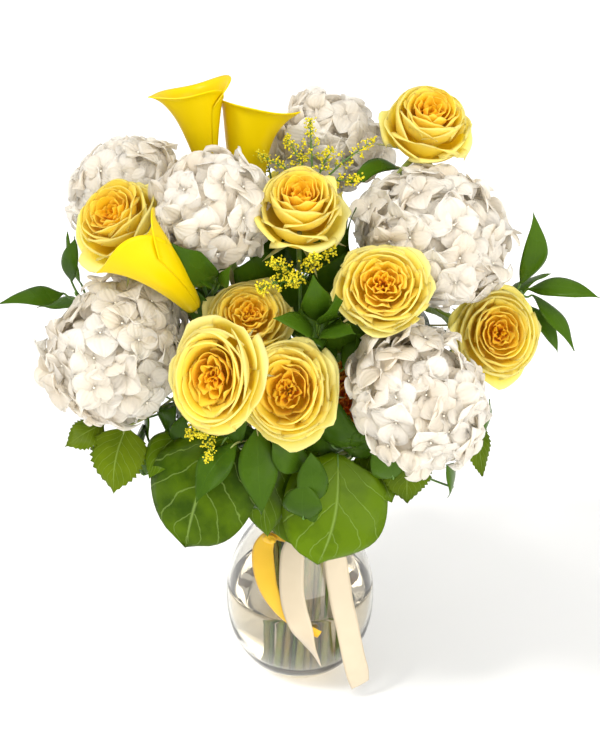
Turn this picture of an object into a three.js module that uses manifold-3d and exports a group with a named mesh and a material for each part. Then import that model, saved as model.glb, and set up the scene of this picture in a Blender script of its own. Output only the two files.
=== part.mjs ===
// Floral table centrepiece: a round bouquet of garden roses, hydrangeas, calla lilies and goldenrod
// in a clear glass bubble vase with water, tied at the neck with two satin ribbons.
// Millimetres, +Z up. The origin is the middle of the vase's foot, on the table, and -Y is the front.

import * as THREE from 'three';
import { LoftGeometry } from 'three/addons/geometries/LoftGeometry.js';
import { ConvexHull } from 'three/addons/math/ConvexHull.js';
import { mergeVertices } from 'three/addons/utils/BufferGeometryUtils.js';
import Module from 'manifold-3d';

const wasm = await Module();
wasm.setup();

// ---------------------------------------------------------------- driving dimensions

const GAP = 0.3;                  // clearance between pieces that touch
const HEAD_GAP = 0.5;             // clearance on each side of the plane between two flower heads
const UP = new THREE.Vector3(0, 0, 1);
const FULL_TURN = Math.PI * 2;
const GOLDEN_ANGLE = Math.PI * (3 - Math.sqrt(5));

const VASE_SIDES = 16;
const VASE_FLOOR = 12;            // thickness of the heavy glass foot
const VASE_OUTSIDE = [            // radius, height
  [35, 0], [44, 6], [60, 24], [72, 52], [75, 88], [70.5, 116], [60, 143], [41, 173], [41, 191], [47, 203],
];
const VASE_INSIDE = [
  [44, 203], [38, 190], [38, 173], [57, 142], [67.5, 115], [72, 88], [69, 54], [56, 26], [30, VASE_FLOOR],
];
const NECK_RADIUS = 38;           // inside the neck, where the stems are gathered
const NECK_HEIGHT = 196;
const WATER_LEVEL = 101;
const WATER_RADIUS = 69.3;        // at its level

const FOOT_HEIGHT = VASE_FLOOR + 1;
const FOOT_PULL = 0.8;            // the stems' spread on the glass floor, against that in the neck
const TWIST = THREE.MathUtils.degToRad(40); // how far the bundle spirals between neck and floor
const NECK_PULL = 0.15;           // a stem's place in the neck, against the place of its flower
const STEM_SPACING = 1.5;         // free room round each stem in the neck, against its radius
const STEM_SIDES = 5;
const SPRIG_SIDES = 4;

const SATIN = 0.8;                // thickness of the ribbons
const BAND_SIDES = 12;
const BAND_RADIUS = 42.9;
const BAND_HEIGHT = 7;

const COLOURS = {
  glass: [0xdfeae6, 0.05],
  water: [0xcfdcc8, 0.05],
  yellow_satin: [0xf6c21c, 0.4],
  cream_satin: [0xf3ead2, 0.45],
  rose: [0xf7d94e, 0.6],
  rose_deep: [0xf0a526, 0.6],
  hydrangea: [0xf8f6ee, 0.7],
  calla: [0xf7d708, 0.45],
  goldenrod: [0xd9b92a, 0.8],
  stem: [0x5d8a3c, 0.6],
  broad_leaf: [0x2f7a2c, 0.45],
  dark_leaf: [0x1f4d27, 0.4],
};

// ---------------------------------------------------------------- the flower heads
// at is the middle of the head, radii are its half sizes across, up and along the way that it faces.

const ROSES = [
  { name: 'rose_top_right', at: [116, 70, 563], radii: [40, 40, 34], faces: [0.3, -0.4, 0.87] },
  { name: 'rose_top', at: [0, -40, 528], radii: [40, 40, 34], faces: [0.05, -0.4, 0.92] },
  { name: 'rose_centre', at: [71, -90, 473], radii: [47, 47, 36], faces: [-0.05, -0.75, 0.66] },
  { name: 'rose_right', at: [181, -10, 390], radii: [44, 46, 36], faces: [0.1, -0.85, 0.5] },
  { name: 'rose_left', at: [-158, -22, 507], radii: [42, 44, 34], faces: [-0.35, -0.6, 0.72] },
  { name: 'rose_heart', at: [-45, -55, 428], radii: [37, 37, 32], faces: [0.05, -0.65, 0.75] },
  { name: 'rose_front_left', at: [-69, -150, 424], radii: [37, 49, 36], faces: [-0.15, -0.93, 0.33] },
  { name: 'rose_front', at: [-5, -118, 392], radii: [46, 47, 38], faces: [-0.15, -0.85, 0.5] },
  { name: 'rose_under', at: [41, -45, 346], radii: [36, 36, 32], faces: [0.2, -0.88, 0.42], deep: true },
  { name: 'rose_back', at: [0, 190, 440], radii: [42, 42, 34], faces: [0, 0.88, 0.47] },
  { name: 'rose_back_left', at: [-165, 78, 362], radii: [40, 40, 33], faces: [-0.85, 0.42, 0.32] },
];

const HYDRANGEAS = [
  { name: 'hydrangea_left', at: [-162, -50, 391], radii: [70, 70, 66], florets: 28 },
  { name: 'hydrangea_top_left', at: [-158, 60, 496], radii: [58, 58, 54], florets: 22 },
  { name: 'hydrangea_top', at: [-80, -20, 516], radii: [58, 58, 54], florets: 22 },
  { name: 'hydrangea_crown', at: [32, 142, 523], radii: [57, 55, 52], florets: 20 },
  { name: 'hydrangea_right', at: [126, 10, 479], radii: [80, 70, 66], florets: 28 },
  { name: 'hydrangea_front', at: [101, -115, 381], radii: [66, 68, 62], florets: 26 },
  { name: 'hydrangea_back_left', at: [-110, 140, 420], radii: [62, 62, 58], florets: 20 },
  { name: 'hydrangea_back_right', at: [120, 150, 420], radii: [62, 62, 58], florets: 20 },
];
const BOUQUET_FOCUS = [0, 10, 220];   // every hydrangea head faces away from this point

const CALLAS = [
  { name: 'calla_top', base: [-86, 84, 512], mouth: [-98, 88, 582], tip: [-136, 66, 588], radius: 31 },
  { name: 'calla_middle', base: [-48, 92, 504], mouth: [-40, 98, 550], tip: [0, 86, 566], radius: 25 },
  { name: 'calla_left', base: [-96, -50, 440], mouth: [-134, -98, 508], tip: [-166, -104, 482], radius: 30 },
];

const vector = (xyz) => new THREE.Vector3(...xyz);

/** Axes of a thing that faces one way: x level, y as near up as can be, z the way it faces. */
function frameFacing(faces) {
  const z = vector(faces).normalize();
  const x = new THREE.Vector3().crossVectors(UP, z).normalize();
  const y = new THREE.Vector3().crossVectors(z, x);
  return [x, y, z];
}

function makeHead(spec, kind) {
  const centre = vector(spec.at);
  const faces = spec.faces ?? centre.clone().sub(vector(BOUQUET_FOCUS)).toArray();
  return { ...spec, kind, centre, axes: frameFacing(faces) };
}

const heads = [
  ...ROSES.map((spec) => makeHead(spec, 'rose')),
  ...HYDRANGEAS.map((spec) => makeHead(spec, 'hydrangea')),
];

/** How far a head's ellipsoid reaches along a direction, as the distance of its tangent plane. */
function support(head, direction) {
  const reaches = head.axes.map((axis, i) => axis.dot(direction) * head.radii[i]);
  return Math.hypot(...reaches);
}

/** The plane that parts two heads. A hydrangea gives way to a rose, and like heads share the squeeze. */
function partingPlane(head, other) {
  const way = other.centre.clone().sub(head.centre);
  const distance = way.length();
  way.divideScalar(distance);
  const slack = distance - support(head, way) - support(other, way);
  let share = 0.5;
  if (slack < 0 && head.kind !== other.kind) share = head.kind === 'rose' ? 0 : 1;
  return { way, limit: support(head, way) + slack * share - HEAD_GAP };
}

for (const head of heads) {
  head.planes = heads.filter((other) => other !== head).map((other) => partingPlane(head, other));
}

const SOFT_FROM = 0.85;           // share of the free way at which a head starts to yield

/** Draws a point of a head in towards its middle, so that it stays inside all parting planes. */
function confine(head, point) {
  const arm = point.clone().sub(head.centre);
  const length = arm.length();
  if (length < 1e-6) return point.clone();
  arm.divideScalar(length);
  let free = Infinity;
  for (const { way, limit } of head.planes) {
    const towards = arm.dot(way);
    if (towards > 1e-6) free = Math.min(free, limit / towards);
  }
  const share = length / free;
  if (share <= SOFT_FROM) return point.clone();
  const room = 1 - SOFT_FROM;
  const yielded = SOFT_FROM + room * (1 - Math.exp((SOFT_FROM - share) / room));
  return head.centre.clone().addScaledVector(arm, free * yielded);
}

/** Moves a point out of every head's ellipsoid, to margin millimetres outside. */
function clearOfHeads(point, margin, own = null) {
  const moved = point.clone();
  for (let round = 0; round < 4; round++) {
    for (const head of heads) {
      if (head === own) continue;
      const arm = moved.clone().sub(head.centre);
      const scaled = head.axes.map((axis, i) => arm.dot(axis) / (head.radii[i] + margin));
      const share = Math.hypot(...scaled);
      if (share < 1) moved.copy(head.centre).addScaledVector(arm, 1 / share);
    }
  }
  return moved;
}

// ---------------------------------------------------------------- solids

/** A seeded random draw between 0 and 1. */
function seeded(seed) {
  let state = seed >>> 0;
  return () => {
    state = (Math.imul(state, 1664525) + 1013904223) >>> 0;
    return state / 2 ** 32;
  };
}

function solidOf(geometry) {
  const bare = new THREE.BufferGeometry();
  bare.setAttribute('position', geometry.attributes.position);
  bare.setIndex(geometry.index);
  const merged = mergeVertices(bare, 1e-4);
  const corners = merged.index.array;
  const kept = [];
  for (let i = 0; i < corners.length; i += 3) {
    const [a, b, c] = corners.slice(i, i + 3);
    if (a !== b && b !== c && c !== a) kept.push(a, b, c);
  }
  return new wasm.Manifold(new wasm.Mesh({
    numProp: 3,
    vertProperties: new Float32Array(merged.attributes.position.array),
    triVerts: new Uint32Array(kept),
  }));
}

function geometryOf(solid) {
  const mesh = solid.getMesh();
  const geometry = new THREE.BufferGeometry();
  geometry.setAttribute('position', new THREE.BufferAttribute(new Float32Array(mesh.vertProperties), 3));
  geometry.setIndex(new THREE.BufferAttribute(new Uint32Array(mesh.triVerts), 1));
  return geometry;
}

const fuse = (solids) => solids.reduce((whole, piece) => whole.add(piece));

/** The largest body of a solid: what a cut leaves loose is dropped. */
function mainBody(solid) {
  const bodies = solid.decompose();
  bodies.sort((a, b) => b.volume() - a.volume());
  return bodies[0];
}

/** Moves every vertex of a geometry by a rule. */
function reshape(geometry, rule) {
  const places = geometry.attributes.position;
  const point = new THREE.Vector3();
  for (let i = 0; i < places.count; i++) {
    const moved = rule(point.fromBufferAttribute(places, i));
    places.setXYZ(i, moved.x, moved.y, moved.z);
  }
  return geometry;
}

/**
 * A closed curved blade. surface(u, v) gives its middle, with u from -1 to 1 across and v from 0 to 1
 * along, and half(u, v) half its thickness. Both faces are split into the same triangles.
 */
function blade(columns, rows, surface, half) {
  const grid = new THREE.PlaneGeometry(2, 1, columns, rows);
  const flat = grid.attributes.position;
  const front = [];
  const back = [];
  for (let i = 0; i < flat.count; i++) {
    const u = flat.getX(i);
    const v = flat.getY(i) + 0.5;
    const middle = surface(u, v);
    const across = surface(Math.min(u + 0.02, 1), v).sub(surface(Math.max(u - 0.02, -1), v));
    const along = surface(u, Math.min(v + 0.02, 1)).sub(surface(u, Math.max(v - 0.02, 0)));
    const normal = across.cross(along).normalize();
    front.push(middle.clone().addScaledVector(normal, half(u, v)));
    back.push(middle.clone().addScaledVector(normal, -half(u, v)));
  }
  const faces = [];
  const edges = new Map();
  const cells = grid.index.array;
  for (let i = 0; i < cells.length; i += 3) {
    const [a, b, c] = cells.slice(i, i + 3);
    faces.push(a, b, c, a + flat.count, c + flat.count, b + flat.count);
    for (const [p, q] of [[a, b], [b, c], [c, a]]) edges.set(`${p}_${q}`, [p, q]);
  }
  for (const [p, q] of edges.values()) {
    if (edges.has(`${q}_${p}`)) continue;
    faces.push(q, p, p + flat.count, q, p + flat.count, q + flat.count);
  }
  const geometry = new THREE.BufferGeometry().setFromPoints([...front, ...back]);
  geometry.setIndex(faces);
  return geometry;
}

/** A tube through points, with a radius at each, its rings square to the way. */
function tube(points, radii, sides = STEM_SIDES) {
  const rings = [];
  let side = new THREE.Vector3(1, 0, 0);
  points.forEach((point, i) => {
    const before = points[Math.max(i - 1, 0)];
    const after = points[Math.min(i + 1, points.length - 1)];
    const way = after.clone().sub(before).normalize();
    side = side.clone().addScaledVector(way, -side.dot(way)).normalize();
    const other = new THREE.Vector3().crossVectors(way, side);
    const ring = [];
    for (let k = 0; k < sides; k++) {
      const angle = (k / sides) * FULL_TURN;
      const out = side.clone().multiplyScalar(Math.cos(angle)).addScaledVector(other, Math.sin(angle));
      ring.push(point.clone().addScaledVector(out, radii[i]));
    }
    rings.push(ring);
  });
  return new LoftGeometry(rings, { capStart: true, capEnd: true });
}

// ---------------------------------------------------------------- vase and water

/** A body of revolution about +Z from radius and height pairs. */
function turned(profile, sides) {
  const points = profile.map(([radius, height]) => new THREE.Vector2(radius, height));
  return new THREE.LatheGeometry(points, sides).rotateX(Math.PI / 2);
}

function makeVase() {
  return solidOf(turned([[0, 0], ...VASE_OUTSIDE, ...VASE_INSIDE, [0, VASE_FLOOR]], VASE_SIDES));
}

/** The water fills the vase to its level, and every stem stands in a plain hole in it. */
function makeWater(stems) {
  const wetted = VASE_INSIDE.filter(([, height]) => height < WATER_LEVEL).reverse();
  const profile = [
    [0, VASE_FLOOR + GAP],
    ...wetted.map(([radius, height]) => [radius - GAP, height + GAP]),
    [WATER_RADIUS, WATER_LEVEL],
    [0, WATER_LEVEL],
  ];
  const holes = stems.map((stem) => {
    const below = stem.foot.clone().lerp(stem.neck, -0.05);
    const wide = stem.radius + GAP;
    return solidOf(tube([below, stem.neck], [wide, wide], stem.sides));
  });
  return solidOf(turned(profile, VASE_SIDES)).subtract(fuse(holes));
}

// ---------------------------------------------------------------- roses
// A bloom is one closed surface of rings, in its own frame with a radius of about 1: rounds of petals stand
// one inside the other, each with a lobed rim and with one side of a petal lapped over its neighbour.

const ROSE_COLUMNS = 18;
const ROSE_BASE = 0.72;           // the bloom's flat underside, behind its middle
const PETAL_LAP = 0.2;            // how far a petal's outer side stands off from its neighbour's inner side
const PETAL_NOTCH = 0.2;          // how deep the rim dips between two petals
const PETAL_ROUNDS = [            // rings are radius, height and the share of lap and notch there
  { petals: 5, turn: 0, rings: [[0.2, -ROSE_BASE, 0], [0.82, -0.4, 0.4], [0.98, 0.22, 1], [0.8, 0, 0.4]] },
  { petals: 5, turn: 0.5, rings: [[0.78, 0.52, 1], [0.58, 0.16, 0.4]] },
  { petals: 4, turn: 0.3, rings: [[0.54, 0.78, 1], [0.36, 0.4, 0.4]] },
  { petals: 4, turn: 0.8, rings: [[0.3, 0.9, 0.7], [0.14, 0.6, 0.2]] },
];
const ROSE_HEART = 0.84;          // height of the tight bud in the middle

/** Straight-line value of a list at a share of its length. */
function along(list, share) {
  const step = Math.min(Math.floor(share * (list.length - 1)), list.length - 2);
  return THREE.MathUtils.lerp(list[step], list[step + 1], share * (list.length - 1) - step);
}

/** Puts a point of a head of radius 1 in its place, drawn in where the neighbours press on it. */
function placeInHead(head, point) {
  const world = head.centre.clone();
  head.axes.forEach((axis, i) => world.addScaledVector(axis, point.getComponent(i) * head.radii[i]));
  return confine(head, world);
}

function petalRing(round, [radius, height, share]) {
  const ring = [];
  for (let k = 0; k < ROSE_COLUMNS; k++) {
    const petals = (k / ROSE_COLUMNS) * round.petals + round.turn;
    const across = petals - Math.floor(petals) - 0.5;
    const lapped = radius + PETAL_LAP * share * radius * across;
    const notched = height - PETAL_NOTCH * share * 4 * across * across;
    const angle = (k / ROSE_COLUMNS) * FULL_TURN;
    ring.push(new THREE.Vector3(lapped * Math.cos(angle), lapped * Math.sin(angle), notched));
  }
  return ring;
}

function makeRose(head) {
  const underside = new Array(ROSE_COLUMNS).fill(new THREE.Vector3(0, 0, -ROSE_BASE));
  const heart = new Array(ROSE_COLUMNS).fill(new THREE.Vector3(0, 0, ROSE_HEART));
  const rings = PETAL_ROUNDS.flatMap((round) => round.rings.map((ring) => petalRing(round, ring)));
  const bloom = new LoftGeometry([underside, ...rings, heart]);
  return solidOf(reshape(bloom, (point) => placeInHead(head, point)));
}

// ---------------------------------------------------------------- hydrangeas
// A head is one closed surface over directions from its middle: each floret is a dimple with four raised
// lobes, and the valleys between florets are deep. The hull of the directions gives the triangles.

const FLORET_LOBES = 4;
const LOBE_RISE = 1;              // distances from the head's middle, as shares of its radii
const NOTCH_RISE = 0.9;
const DIMPLE_RISE = 0.88;
const VALLEY_RISE = 0.74;
const HYDRANGEA_BASE = 0.9;       // the flat underside where the stem meets the head
const BASE_RING = 0.1;
const FLORET_REACH = 1.75;        // a lobe's length, times the root of the number of florets
const NOTCH_REACH = 0.6;          // a notch's distance from the floret's middle, against a lobe's length

/** Evenly spread directions over a ball, from the face of the head down to its stem. */
function spiralDirection(index, count) {
  const height = 1 - (1.9 * (index + 0.5)) / count;
  const radius = Math.sqrt(1 - height * height);
  const angle = index * GOLDEN_ANGLE;
  return new THREE.Vector3(radius * Math.cos(angle), radius * Math.sin(angle), height);
}

/** The corners of each triangle on the hull of some points. */
function hullTriangles(points) {
  return new ConvexHull().setFromPoints(points).faces.map((face) => {
    const corners = [];
    let edge = face.edge;
    do {
      corners.push(edge.head().point);
      edge = edge.next;
    } while (edge !== face.edge);
    return corners;
  });
}

/** Directions over a hydrangea head, each with its distance from the middle of a head of radius 1. */
function hydrangeaRelief(count, draw) {
  const relief = [];
  const add = (direction, rise) => relief.push({ direction: direction.normalize(), rise });
  const middles = Array.from({ length: count }, (_, k) => spiralDirection(k, count));
  for (const corners of hullTriangles(middles)) {
    const valley = corners.reduce((sum, corner) => sum.add(corner), new THREE.Vector3());
    if (valley.z > -2.6) add(valley, VALLEY_RISE);
  }
  for (const middle of middles) {
    const [across, up] = frameFacing(middle.toArray());
    const spin = draw() * FULL_TURN;
    const lift = 0.05 * draw() - 0.03;
    for (let k = 0; k < 2 * FLORET_LOBES; k++) {
      const lobe = k % 2 === 0;
      const angle = spin + (k / (2 * FLORET_LOBES)) * FULL_TURN;
      const reach = (FLORET_REACH / Math.sqrt(count)) * (lobe ? 1 : NOTCH_REACH);
      const place = middle.clone().addScaledVector(across, reach * Math.cos(angle));
      add(place.addScaledVector(up, reach * Math.sin(angle)), (lobe ? LOBE_RISE : NOTCH_RISE) + lift);
    }
    add(middle.clone(), DIMPLE_RISE + lift);
  }
  return relief;
}

function makeHydrangea(head, seed) {
  const relief = hydrangeaRelief(head.florets, seeded(seed)).filter(({ direction }) => direction.z > -0.93);
  for (let k = 0; k <= STEM_SIDES; k++) {
    const radius = k === STEM_SIDES ? 0 : BASE_RING;
    const angle = (k / STEM_SIDES) * FULL_TURN;
    const place = new THREE.Vector3(radius * Math.cos(angle), radius * Math.sin(angle), -HYDRANGEA_BASE);
    relief.push({ rise: place.length(), direction: place.normalize() });
  }
  const rises = new Map(relief.map(({ direction, rise }) => [direction, rise]));
  const corners = hullTriangles([...rises.keys()]).flat();
  const points = corners.map((corner) => placeInHead(head, corner.clone().multiplyScalar(rises.get(corner))));
  return solidOf(new THREE.BufferGeometry().setFromPoints(points));
}

// ---------------------------------------------------------------- calla lilies

const CALLA_SIDES = 9;
const CALLA_WALL = 1.8;
const CALLA_RINGS = [             // share of the way from base to mouth, share of the mouth's radius
  [0, 0.2], [0.35, 0.36], [0.7, 0.62], [1, 1],
];
const CALLA_THROAT = [[0.72, 0.62], [0.4, 0.36]];
const CALLA_THROAT_END = 0.25;
const SPADIX = { from: 0.15, to: 0.85, radius: 3.4 };

/** One ring of the trumpet. The rim runs out to a point on the side of the tip. */
function callaRing(spec, share, size, wall) {
  const base = vector(spec.base);
  const mouth = vector(spec.mouth);
  const tip = vector(spec.tip).sub(mouth);
  const way = mouth.clone().sub(base).normalize();
  const side = tip.clone().addScaledVector(way, -tip.dot(way));
  const reach = side.length();
  side.divideScalar(reach);
  const other = new THREE.Vector3().crossVectors(way, side);
  const middle = base.clone().lerp(mouth, share);
  const ring = [];
  for (let k = 0; k < CALLA_SIDES; k++) {
    const angle = (k / CALLA_SIDES) * FULL_TURN;
    const towardsTip = Math.max(0, Math.cos(angle)) ** 3 * share ** 4;
    const radius = spec.radius * size - wall + (reach - spec.radius) * towardsTip;
    const out = side.clone().multiplyScalar(Math.cos(angle) * radius);
    out.addScaledVector(other, Math.sin(angle) * radius);
    out.addScaledVector(way, tip.dot(way) * towardsTip);
    ring.push(middle.clone().add(out));
  }
  return ring;
}

function makeCalla(spec) {
  const outside = CALLA_RINGS.map(([share, size]) => callaRing(spec, share, size, 0));
  const inside = CALLA_THROAT.map(([share, size]) => callaRing(spec, share, size, CALLA_WALL));
  const base = vector(spec.base);
  const mouth = vector(spec.mouth);
  const throatEnd = new Array(CALLA_SIDES).fill(base.clone().lerp(mouth, CALLA_THROAT_END));
  const trumpet = new LoftGeometry([...outside, ...inside, throatEnd], { capStart: true });
  const spadix = tube(
    [base.clone().lerp(mouth, SPADIX.from), base.clone().lerp(mouth, SPADIX.to)],
    [SPADIX.radius, SPADIX.radius * 0.6],
  );
  return solidOf(trumpet).add(solidOf(spadix));
}

// ---------------------------------------------------------------- leaves
// An outline is half widths, as shares of the widest, at shares of the blade's length.

const OUTLINES = {
  lance: [[0, 0.1], [0.28, 0.86], [0.62, 0.9], [1, 0]],
  oval: [[0, 0.1], [0.12, 0.68], [0.38, 1], [0.7, 0.8], [1, 0]],
  round: [[0, 0.1], [0.08, 0.72], [0.3, 1], [0.58, 0.92], [0.84, 0.5], [1, 0]],
  toothed: [[0, 0.1], [0.14, 0.72], [0.3, 1], [0.38, 0.84], [0.56, 0.94], [0.64, 0.7], [0.8, 0.66], [1, 0]],
};
const PETIOLE_HALF = 1.3;
const PETIOLE_RISE = 34;          // a leaf stalk leaves its stem this far below the blade
const LEAF_HALF = 0.7;            // half the thickness along the midrib
const HEAD_MARGIN = 4;            // leaves keep this far from the flower heads

function nearestOn(points, target) {
  const best = { distance: Infinity, point: null };
  const line = new THREE.Line3();
  const foot = new THREE.Vector3();
  for (let i = 1; i < points.length; i++) {
    line.set(points[i - 1], points[i]).closestPointToPoint(target, true, foot);
    const distance = foot.distanceTo(target);
    if (distance < best.distance) Object.assign(best, { distance, point: foot.clone() });
  }
  return best;
}

/** The way a leaf's upper face looks, unless it is given: outwards from the vase's axis, and up. */
function leafFaces(spec, middle) {
  if (spec.faces) return vector(spec.faces).normalize();
  return new THREE.Vector3(middle.x, middle.y, 0).normalize().setZ(0.9).normalize();
}

/** A leaf that grows from the nearest point of a stem, through the start of its blade, to its tip. */
function leaf(stemPoints, spec) {
  const start = vector(spec.from);
  const tip = vector(spec.tip);
  const { point: root } = nearestOn(stemPoints, start.clone().addScaledVector(UP, -(spec.rise ?? PETIOLE_RISE)));
  const length = start.distanceTo(tip);
  const stalk = Math.max(root.distanceTo(start), 1);
  const hold = stalk / (stalk + length);
  const faces = leafFaces(spec, start.clone().lerp(tip, 0.5));
  const way = tip.clone().sub(start).normalize();
  const side = new THREE.Vector3().crossVectors(way, faces).normalize();
  const face = new THREE.Vector3().crossVectors(side, way);
  const outline = OUTLINES[spec.outline];
  const stations = [0, ...outline.map(([share]) => hold + (1 - hold) * share)];
  const halves = [PETIOLE_HALF, ...outline.map(([, width]) => width * spec.half)];
  halves[1] = PETIOLE_HALF;
  const rows = stations.length - 1;
  const arch = spec.arch ?? 0.1;
  const surface = (u, v) => {
    const share = along(stations, v);
    const half = along(halves, v);
    const bladeShare = Math.max(0, (share - hold) / (1 - hold));
    const middle = share < hold ? root.clone().lerp(start, share / hold) : start.clone().lerp(tip, bladeShare);
    middle.addScaledVector(face, arch * length * 4 * bladeShare * (1 - bladeShare));
    middle.addScaledVector(side, u * half);
    middle.addScaledVector(face, -0.25 * half * u * u);
    return share <= hold ? middle : clearOfHeads(middle, HEAD_MARGIN);
  };
  const thick = (u, v) => (Math.abs(u) > 0.99 || v > 0.99 ? 0 : LEAF_HALF);
  return solidOf(blade(spec.outline === 'round' ? 4 : 2, rows, surface, thick));
}

// ---------------------------------------------------------------- stems

const STEM_STEPS = 4;             // bends between the neck and the flower
const STEM_MARGIN = 4;            // a stem keeps this far from the flowers that it passes
const STEM_CLEARANCE = 1.2;       // free room between two stems above the neck
const STRAIGHT_END = 8;           // the last stretch of a stem follows the flower's own way
const ROSE_STEM = 2.3;
const HYDRANGEA_STEM = 2.8;
const CALLA_STEM = 3.6;
const SPRIG_STEM = 1.5;

/** Where a stem ends under what it carries, and the way that it comes in. */
function stemUnder(head) {
  const facing = head.axes[2];
  const depth = head.radii[2] * (head.kind === 'rose' ? ROSE_BASE : HYDRANGEA_BASE) + GAP;
  return { top: head.centre.clone().addScaledVector(facing, -depth), comes: facing, head };
}

/** Spreads the stems over the neck so that none crowds another, by pushing close ones apart. */
function gather(stems) {
  for (const stem of stems) {
    const [leanX, leanY] = stem.leans ?? [0, 0];
    stem.neck = new THREE.Vector3(stem.top.x + leanX, stem.top.y + leanY, 0).multiplyScalar(NECK_PULL);
  }
  for (let round = 0; round < 200; round++) {
    for (const [i, one] of stems.entries()) {
      for (const two of stems.slice(i + 1)) {
        const apart = two.neck.clone().sub(one.neck);
        const need = (one.radius + two.radius + 2 * GAP) * STEM_SPACING;
        const distance = Math.max(apart.length(), 1e-3);
        if (distance >= need) continue;
        apart.multiplyScalar((need - distance) / (2 * distance));
        one.neck.sub(apart);
        two.neck.add(apart);
      }
    }
    for (const stem of stems) stem.neck.clampLength(0, NECK_RADIUS - stem.radius - 1.5);
  }
  for (const stem of stems) {
    stem.foot = stem.neck.clone().applyAxisAngle(UP, -TWIST).multiplyScalar(FOOT_PULL);
    stem.foot.z = FOOT_HEIGHT;
    stem.neck.z = NECK_HEIGHT;
  }
}

/** The way of a stem from the neck to its flower. Its points from FIRST_BEND to LAST_BEND may be moved. */
function routeStem(stem) {
  const length = stem.neck.distanceTo(stem.top);
  const rising = stem.neck.clone().sub(stem.foot).normalize();
  const end = stem.top.clone().addScaledVector(stem.comes, -STRAIGHT_END);
  const curve = new THREE.CubicBezierCurve3(
    stem.neck,
    stem.neck.clone().addScaledVector(rising, length * 0.3),
    stem.top.clone().addScaledVector(stem.comes, -Math.min(length * 0.3, 60)),
    end,
  );
  stem.points = [stem.foot, ...curve.getPoints(STEM_STEPS), stem.top];
}

const FIRST_BEND = 2;
const LAST_BEND = STEM_STEPS;

/** Pushes two stems apart where one stretch of the first comes too close to one of the second. */
function partStems(one, two) {
  const need = one.radius + two.radius + STEM_CLEARANCE;
  const nearOne = new THREE.Vector3();
  const nearTwo = new THREE.Vector3();
  for (let i = 1; i < one.points.length - 1; i++) {
    const stretch = new THREE.Line3(one.points[i], one.points[i + 1]);
    for (let j = 1; j < two.points.length - 1; j++) {
      const other = new THREE.Line3(two.points[j], two.points[j + 1]);
      const distance = Math.sqrt(stretch.distanceSqToLine3(other, nearOne, nearTwo));
      if (distance >= need) continue;
      const push = nearOne.clone().sub(nearTwo).setLength((need - distance) * 0.6);
      for (const [stem, at, sign] of [[one, i, 1], [two, j, -1]]) {
        for (const bend of [at, at + 1]) {
          if (bend >= FIRST_BEND && bend <= LAST_BEND) stem.points[bend].addScaledVector(push, sign);
        }
      }
    }
  }
}

/** Bends the stems clear of each other and of the heads that they pass. */
function bendStems(stems) {
  for (let round = 0; round < 60; round++) {
    for (const [i, one] of stems.entries()) {
      for (const two of stems.slice(i + 1)) partStems(one, two);
    }
    for (const stem of stems) {
      for (let bend = FIRST_BEND; bend <= LAST_BEND; bend++) {
        const next = stem.points[bend + 1];
        const halfway = stem.points[bend].clone().lerp(next, 0.5);
        const push = clearOfHeads(halfway, stem.radius + STEM_MARGIN, stem.head).sub(halfway);
        stem.points[bend].add(push);
        if (bend < LAST_BEND) next.add(push);
        stem.points[bend] = clearOfHeads(stem.points[bend], stem.radius + STEM_MARGIN, stem.head);
      }
    }
  }
}

function stemTube(stem) {
  return solidOf(tube(stem.points, stem.points.map(() => stem.radius), stem.sides));
}

// ---------------------------------------------------------------- what the stems carry

const LEAVES = {                  // leaves on the flowers' own stems
  rose_top_right: [
    { from: [92, 78, 516], tip: [44, 32, 520], half: 13, outline: 'lance', faces: [0, -0.7, 0.7], rise: 20 },
  ],
  rose_front_left: [
    { from: [-56, -98, 326], tip: [-92, -130, 283], half: 15, outline: 'lance', faces: [-0.2, -0.8, 0.5] },
  ],
  rose_front: [
    { from: [-37, -95, 343], tip: [-34, -127, 268], half: 18, outline: 'lance', faces: [0, -0.85, 0.5] },
  ],
  rose_back: [
    { from: [-10, 120, 380], tip: [-30, 165, 345], half: 17, outline: 'lance' },
  ],
  rose_back_left: [
    { from: [-120, 60, 320], tip: [-165, 70, 286], half: 17, outline: 'lance' },
  ],
  hydrangea_left: [
    { from: [-158, -62, 320], tip: [-171, -84, 262], half: 27, outline: 'toothed', faces: [-0.2, -0.8, 0.5] },
    { from: [-182, -44, 312], tip: [-216, -62, 298], half: 17, outline: 'toothed', faces: [-0.5, -0.6, 0.5] },
  ],
  hydrangea_front: [
    { from: [98, -90, 308], tip: [97, -102, 264], half: 22, outline: 'toothed', faces: [0.1, -0.9, 0.4] },
    { from: [156, -64, 330], tip: [166, -86, 282], half: 15, outline: 'toothed', faces: [0.5, -0.7, 0.4] },
  ],
  hydrangea_back_left: [
    { from: [-118, 130, 345], tip: [-150, 158, 302], half: 26, outline: 'toothed' },
  ],
  hydrangea_back_right: [
    { from: [125, 135, 345], tip: [155, 165, 302], half: 26, outline: 'toothed' },
    { from: [150, 70, 355], tip: [205, 78, 335], half: 22, outline: 'toothed' },
  ],
};

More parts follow.
